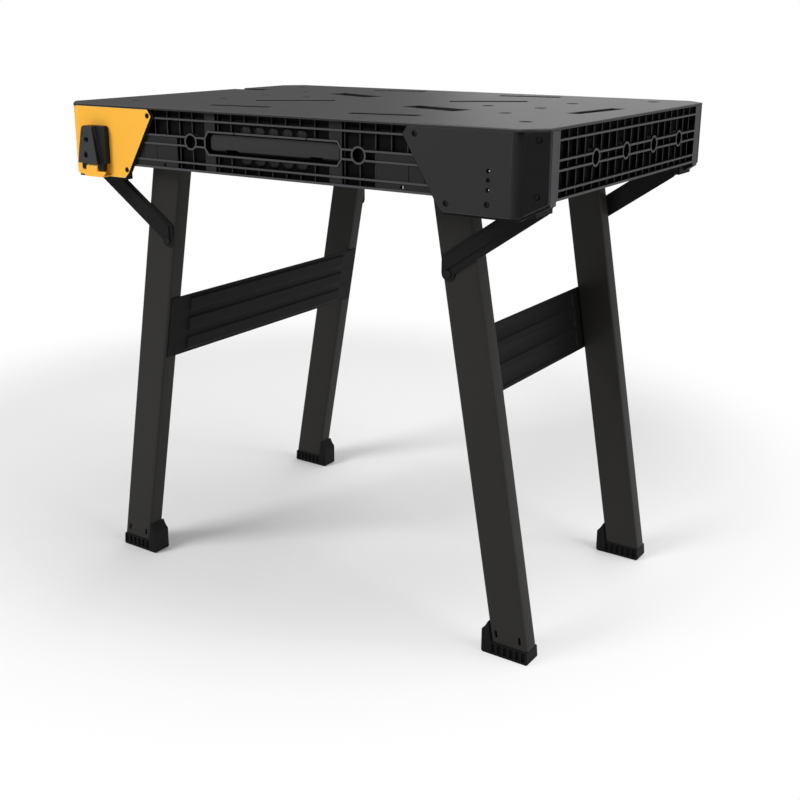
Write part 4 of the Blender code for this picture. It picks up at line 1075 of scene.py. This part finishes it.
@dataclass
class LegPair:
    """One pair of legs with feet, cross panel, struts and what they turn on."""

    side: Side
    splay: float = math.radians(10.0)
    tube_rounding: float = 0.0004
    foot_rounding: float = 0.001
    strut_rounding: float = 0.0005
    panel_rounding: float = 0.0004
    panel_flat: float = 0.050
    panel_end_gap: float = 0.0045
    panel_run_out: float = 0.0015
    slot_height: float = 0.0362
    slot_from_edge: Point = (0.0112, 0.0510)
    slot_half_width: float = 0.0021
    slot_half_length: float = 0.0058
    slot_depth: float = 0.0024
    pocket_count: int = 6
    pocket_first: float = 0.0078
    pocket_pitch: float = 0.0103
    pocket_half_width: float = 0.0033
    pocket_heights: Point = (0.0046, 0.0192)
    pocket_depth: float = 0.003
    pocket_lip: float = 0.0012
    # Painted highlight on the feet's ribs.
    rib_highlight: float = -0.2

    def build(self) -> None:
        """Make every piece of the pair."""
        side = self.side.name.lower()
        legs, struts = f"leg_pair_{side}", f"strut_pair_{side}"
        add_piece(f"brace_panel_{side}", self.panel(f"cross_panel_{side}"),
                  PANEL.material(), legs, Slot.COATED, [f"cross_panel_{side}"])
        for end in End:
            place = f"{end.name.lower()}_{side}"
            add_piece(f"leg_{place}", self.tube(f"leg_tube_{place}", end),
                      LEG.material(), legs, Slot.COATED, [f"leg_tube_{place}"])
            add_piece(f"foot_pad_{place}", self.foot(f"foot_{place}"),
                      RUBBER.material(), legs, Slot.RUBBER, [f"foot_{place}"],
                      self.foot_painted_light(f"foot_{place}"))
            add_piece(f"strut_band_{place}",
                      soften(cad_solid(f"strut_{place}"), self.strut_rounding),
                      PRESSED.material(), struts, Slot.COATED, [f"strut_{place}"])
            for kind, finish in (("strut_lower_pin", BLACK_ZINC), ("strut_upper_pin", BLACK_ZINC),
                                 ("leg_pivot_pin", BLACK_ZINC), ("glide_shoe", NYLON),
                                 ("guide_track", PRESSED)):
                dress_node(f"{kind}_{place}", finish.material())

    def panel(self, node: str) -> bmesh.types.BMesh:
        """Give the cross panel flat ends that lie on the legs, so that its beads stop short.

        Args:
            node: The panel's node.

        Returns:
            The panel.
        """
        low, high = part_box(node)
        first, last = low.y + self.panel_flat, high.y - self.panel_flat
        panel = cad_solid(node)
        for y in (first - self.panel_run_out, first, last, last + self.panel_run_out):
            bmesh.ops.bisect_plane(panel, geom=panel.verts[:] + panel.edges[:] + panel.faces[:],
                                   dist=WELD, plane_co=(0.0, y, 0.0), plane_no=TO_REAR)
        # Rings of corners across the sheet, by their place along it in tenths of a millimetre.
        rings: dict[int, list[bmesh.types.BMVert]] = {}
        for vert in panel.verts:
            rings.setdefault(round(10 * vert.co.y / MILLIMETRE), []).append(vert)
        for ring in rings.values():
            y = ring[0].co.y
            if first - WELD < y < last + WELD:
                continue
            ring.sort(key=lambda vert: vert.co.z)
            # By height, the sheet's corners alternate between its raised and its resting face.
            for face in (ring[0::2], ring[1::2]):
                foot, head = face[0].co, face[-1].co
                for vert in face[1:-1]:
                    vert.co = foot.lerp(head, (vert.co.z - foot.z) / (head.z - foot.z))
            y_end = min(max(y, low.y + self.panel_end_gap), high.y - self.panel_end_gap)
            bmesh.ops.translate(panel, verts=ring, vec=(0.0, y_end - y, 0.0))
        return soften(panel, self.panel_rounding)

    def tube(self, node: str, end: End) -> bmesh.types.BMesh:
        """Cut the two slots near its foot into a leg tube.

        Args:
            node: The tube's node.
            end: Front or rear.

        Returns:
            The tube.
        """
        low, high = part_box(node)
        sign = self.side.value
        edge = max(sign * low.x, sign * high.x)
        edge -= (self.slot_height - low.z) * math.tan(self.splay)
        outer = low.y if end is End.FRONT else high.y
        tube = soften(cad_solid(node), self.tube_rounding)
        for inset in self.slot_from_edge:
            cutter = cuboid((-self.slot_half_width, -MILLIMETRE, -self.slot_half_length),
                            (self.slot_half_width, self.slot_depth, self.slot_half_length))
            if end is End.REAR:
                bmesh.ops.scale(cutter, vec=(1, -1, 1), verts=cutter.verts[:])
                bmesh.ops.recalc_face_normals(cutter, faces=cutter.faces[:])
            place = Matrix.Translation((sign * (edge - inset), outer, self.slot_height))
            turn = Matrix.Rotation(-sign * self.splay, 4, "Y")
            bmesh.ops.transform(cutter, matrix=place @ turn, verts=cutter.verts[:])
            tube = carved(tube, cutter)
        return tube

    def foot(self, node: str) -> bmesh.types.BMesh:
        """Cut a row of pockets into both wide faces of a foot.

        Args:
            node: The foot's node.

        Returns:
            The foot.
        """
        low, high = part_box(node)
        sign = self.side.value
        toe = max(sign * low.x, sign * high.x)
        foot = soften(cad_solid(node), self.foot_rounding)
        for index in range(self.pocket_count):
            x = sign * (toe - self.pocket_first - index * self.pocket_pitch)
            for start, stop in ((low.y - MILLIMETRE, low.y + self.pocket_depth),
                                (high.y - self.pocket_depth, high.y + MILLIMETRE)):
                foot = carved(foot, cuboid(
                    (x - self.pocket_half_width, start, self.pocket_heights[0]),
                    (x + self.pocket_half_width, stop, self.pocket_heights[1])))
        return foot

    def foot_painted_light(self, node: str) -> PaintedLight:
        """Paint shade in a foot's pockets and a highlight on its ribs and other faces turned
        aside.

        Args:
            node: The foot's node.

        Returns:
            The painted light of a face of the foot.
        """
        low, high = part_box(node)

        def painted_light(centre: Vector, normal: Vector) -> float:
            """Return the painted light of one face."""
            inset = min(centre.y - low.y, high.y - centre.y)
            sunk = self.pocket_lip < inset < 1.2 * self.pocket_depth
            if sunk and centre.z < self.pocket_heights[1] + MILLIMETRE and normal.z > -MOSTLY:
                return 1.0
            return self.rib_highlight if abs(normal.y) < MOSTLY and normal.z > -0.2 else 0.0

        return painted_light


@dataclass
class Studio:
    """Floor, lights and camera."""

    focal_px: float = 1149.8
    image_px: float = 800.0
    sensor_mm: float = 36.0
    centre_px: Point = (373.6, 357.2)
    pitch: float = math.radians(16.50)
    yaw: float = math.radians(34.63)
    camera_place: tuple[float, float, float] = (1.0901, -1.6017, 0.9350)
    floor_half: float = 30.0
    floor_colour: str = "#f2f2f2"
    floor_roughness: float = 0.9
    floor_specular: float = 0.1
    fill_light: float = 0.35
    aim: tuple[float, float, float] = (0.0, 0.0, 0.5)
    shade_centre: tuple[float, float, float] = (-0.45, 0.35, 0.0)
    shade_reach: Point = (0.70, 1.22)
    # Each lamp's name, place, edge in metres and power in watts.
    lamps: tuple[tuple, ...] = (
        ("key_softbox", (-1.7, -3.0, 3.0), 1.6, 98.0),
        ("side_softbox", (3.2, 0.2, 2.2), 2.4, 62.0),
        ("top_softbox", (0.3, 1.0, 3.2), 3.0, 36.0),
        ("rear_softbox", (-1.6, 5.2, 1.6), 2.4, 26.0),
    )

    def build(self) -> None:
        """Make the stage."""
        self.add_floor()
        self.add_world()
        for name, place, size, power in self.lamps:
            self.add_lamp(name, Vector(place), size, power)
        self.add_camera()
        bpy.context.scene.view_settings.view_transform = "Standard"

    def add_floor(self) -> None:
        """Make the pale floor, which fades to white away from the bench."""
        bm = bmesh.new()
        bmesh.ops.create_grid(bm, x_segments=1, y_segments=1, size=self.floor_half)
        mesh = bpy.data.meshes.new("studio_floor")
        bm.to_mesh(mesh)
        bm.free()
        floor = bpy.data.objects.new("studio_floor", mesh)
        bpy.context.scene.collection.objects.link(floor)
        made = bpy.data.materials.new("studio_floor_paper")
        made.use_nodes = True
        tree = made.node_tree
        shader = tree.nodes["Principled BSDF"]
        shader.inputs["Base Color"].default_value = linear(self.floor_colour)
        shader.inputs["Roughness"].default_value = self.floor_roughness
        shader.inputs["Specular IOR Level"].default_value = self.floor_specular
        place = add_node(tree, "ShaderNodeTexCoord").outputs["Object"]
        reach = add_node(tree, "ShaderNodeVectorMath", {0: place, 1: self.shade_centre},
                         operation="DISTANCE")
        fade = add_node(tree, "ShaderNodeMapRange", {
            "Value": reach.outputs["Value"], "From Min": self.shade_reach[0],
            "From Max": self.shade_reach[1]}, interpolation_type="SMOOTHSTEP")
        glow = add_node(tree, "ShaderNodeEmission", {"Color": (1, 1, 1, 1), "Strength": 1.0})
        seen = add_node(tree, "ShaderNodeLightPath").outputs["Is Camera Ray"]
        share = add_node(tree, "ShaderNodeMath", {0: fade.outputs["Result"], 1: seen},
                         operation="MULTIPLY")
        mixed = add_node(tree, "ShaderNodeMixShader", {
            0: share.outputs["Value"], 1: shader.outputs["BSDF"], 2: glow.outputs["Emission"]})
        tree.links.new(mixed.outputs["Shader"], tree.nodes["Material Output"].inputs["Surface"])
        mesh.materials.append(made)

    def add_world(self) -> None:
        """Make a white background over a plain, dim fill light."""
        world = bpy.data.worlds.new("studio_world")
        bpy.context.scene.world = world
        world.use_nodes = True
        tree = world.node_tree
        fill = tree.nodes["Background"]
        fill.inputs["Color"].default_value = (1.0, 1.0, 1.0, 1.0)
        fill.inputs["Strength"].default_value = self.fill_light
        white = add_node(tree, "ShaderNodeBackground", {"Color": (1, 1, 1, 1), "Strength": 1.0})
        path = add_node(tree, "ShaderNodeLightPath")
        mixed = add_node(tree, "ShaderNodeMixShader", {
            0: path.outputs["Is Camera Ray"], 1: fill.outputs["Background"],
            2: white.outputs["Background"]})
        tree.links.new(mixed.outputs["Shader"], tree.nodes["World Output"].inputs["Surface"])

    def add_lamp(self, name: str, place: Vector, size: float, power: float) -> None:
        """Add one soft lamp that looks at the bench.

        Args:
            name: The lamp's name.
            place: Where it hangs.
            size: Its edge.
            power: Its power in watts.
        """
        data = bpy.data.lights.new(name, "AREA")
        data.size = size
        data.energy = power
        lamp = bpy.data.objects.new(name, data)
        bpy.context.scene.collection.objects.link(lamp)
        lamp.location = place
        towards = Vector(self.aim) - place
        lamp.rotation_euler = towards.to_track_quat("-Z", "Y").to_euler()

    def add_camera(self) -> None:
        """Add the camera at the photograph's place."""
        data = bpy.data.cameras.new("studio_camera")
        data.sensor_width = self.sensor_mm
        data.lens = self.focal_px / self.image_px * self.sensor_mm
        data.shift_x = (self.image_px / 2 - self.centre_px[0]) / self.image_px
        data.shift_y = (self.centre_px[1] - self.image_px / 2) / self.image_px
        camera = bpy.data.objects.new("studio_camera", data)
        bpy.context.scene.collection.objects.link(camera)
        camera.location = self.camera_place
        forward = Vector((-math.sin(self.yaw) * math.cos(self.pitch),
                          math.cos(self.yaw) * math.cos(self.pitch), -math.sin(self.pitch)))
        camera.rotation_euler = forward.to_track_quat("-Z", "Y").to_euler()
        bpy.context.scene.camera = camera


def main() -> None:
    """Build every sub-assembly and the studio."""
    logging.basicConfig(level=logging.INFO)
    for part in (Body(), Corners(), Latch(), LegPair(Side.LEFT), LegPair(Side.RIGHT), Studio()):
        part.build()


if __name__ == "__main__":
    main()
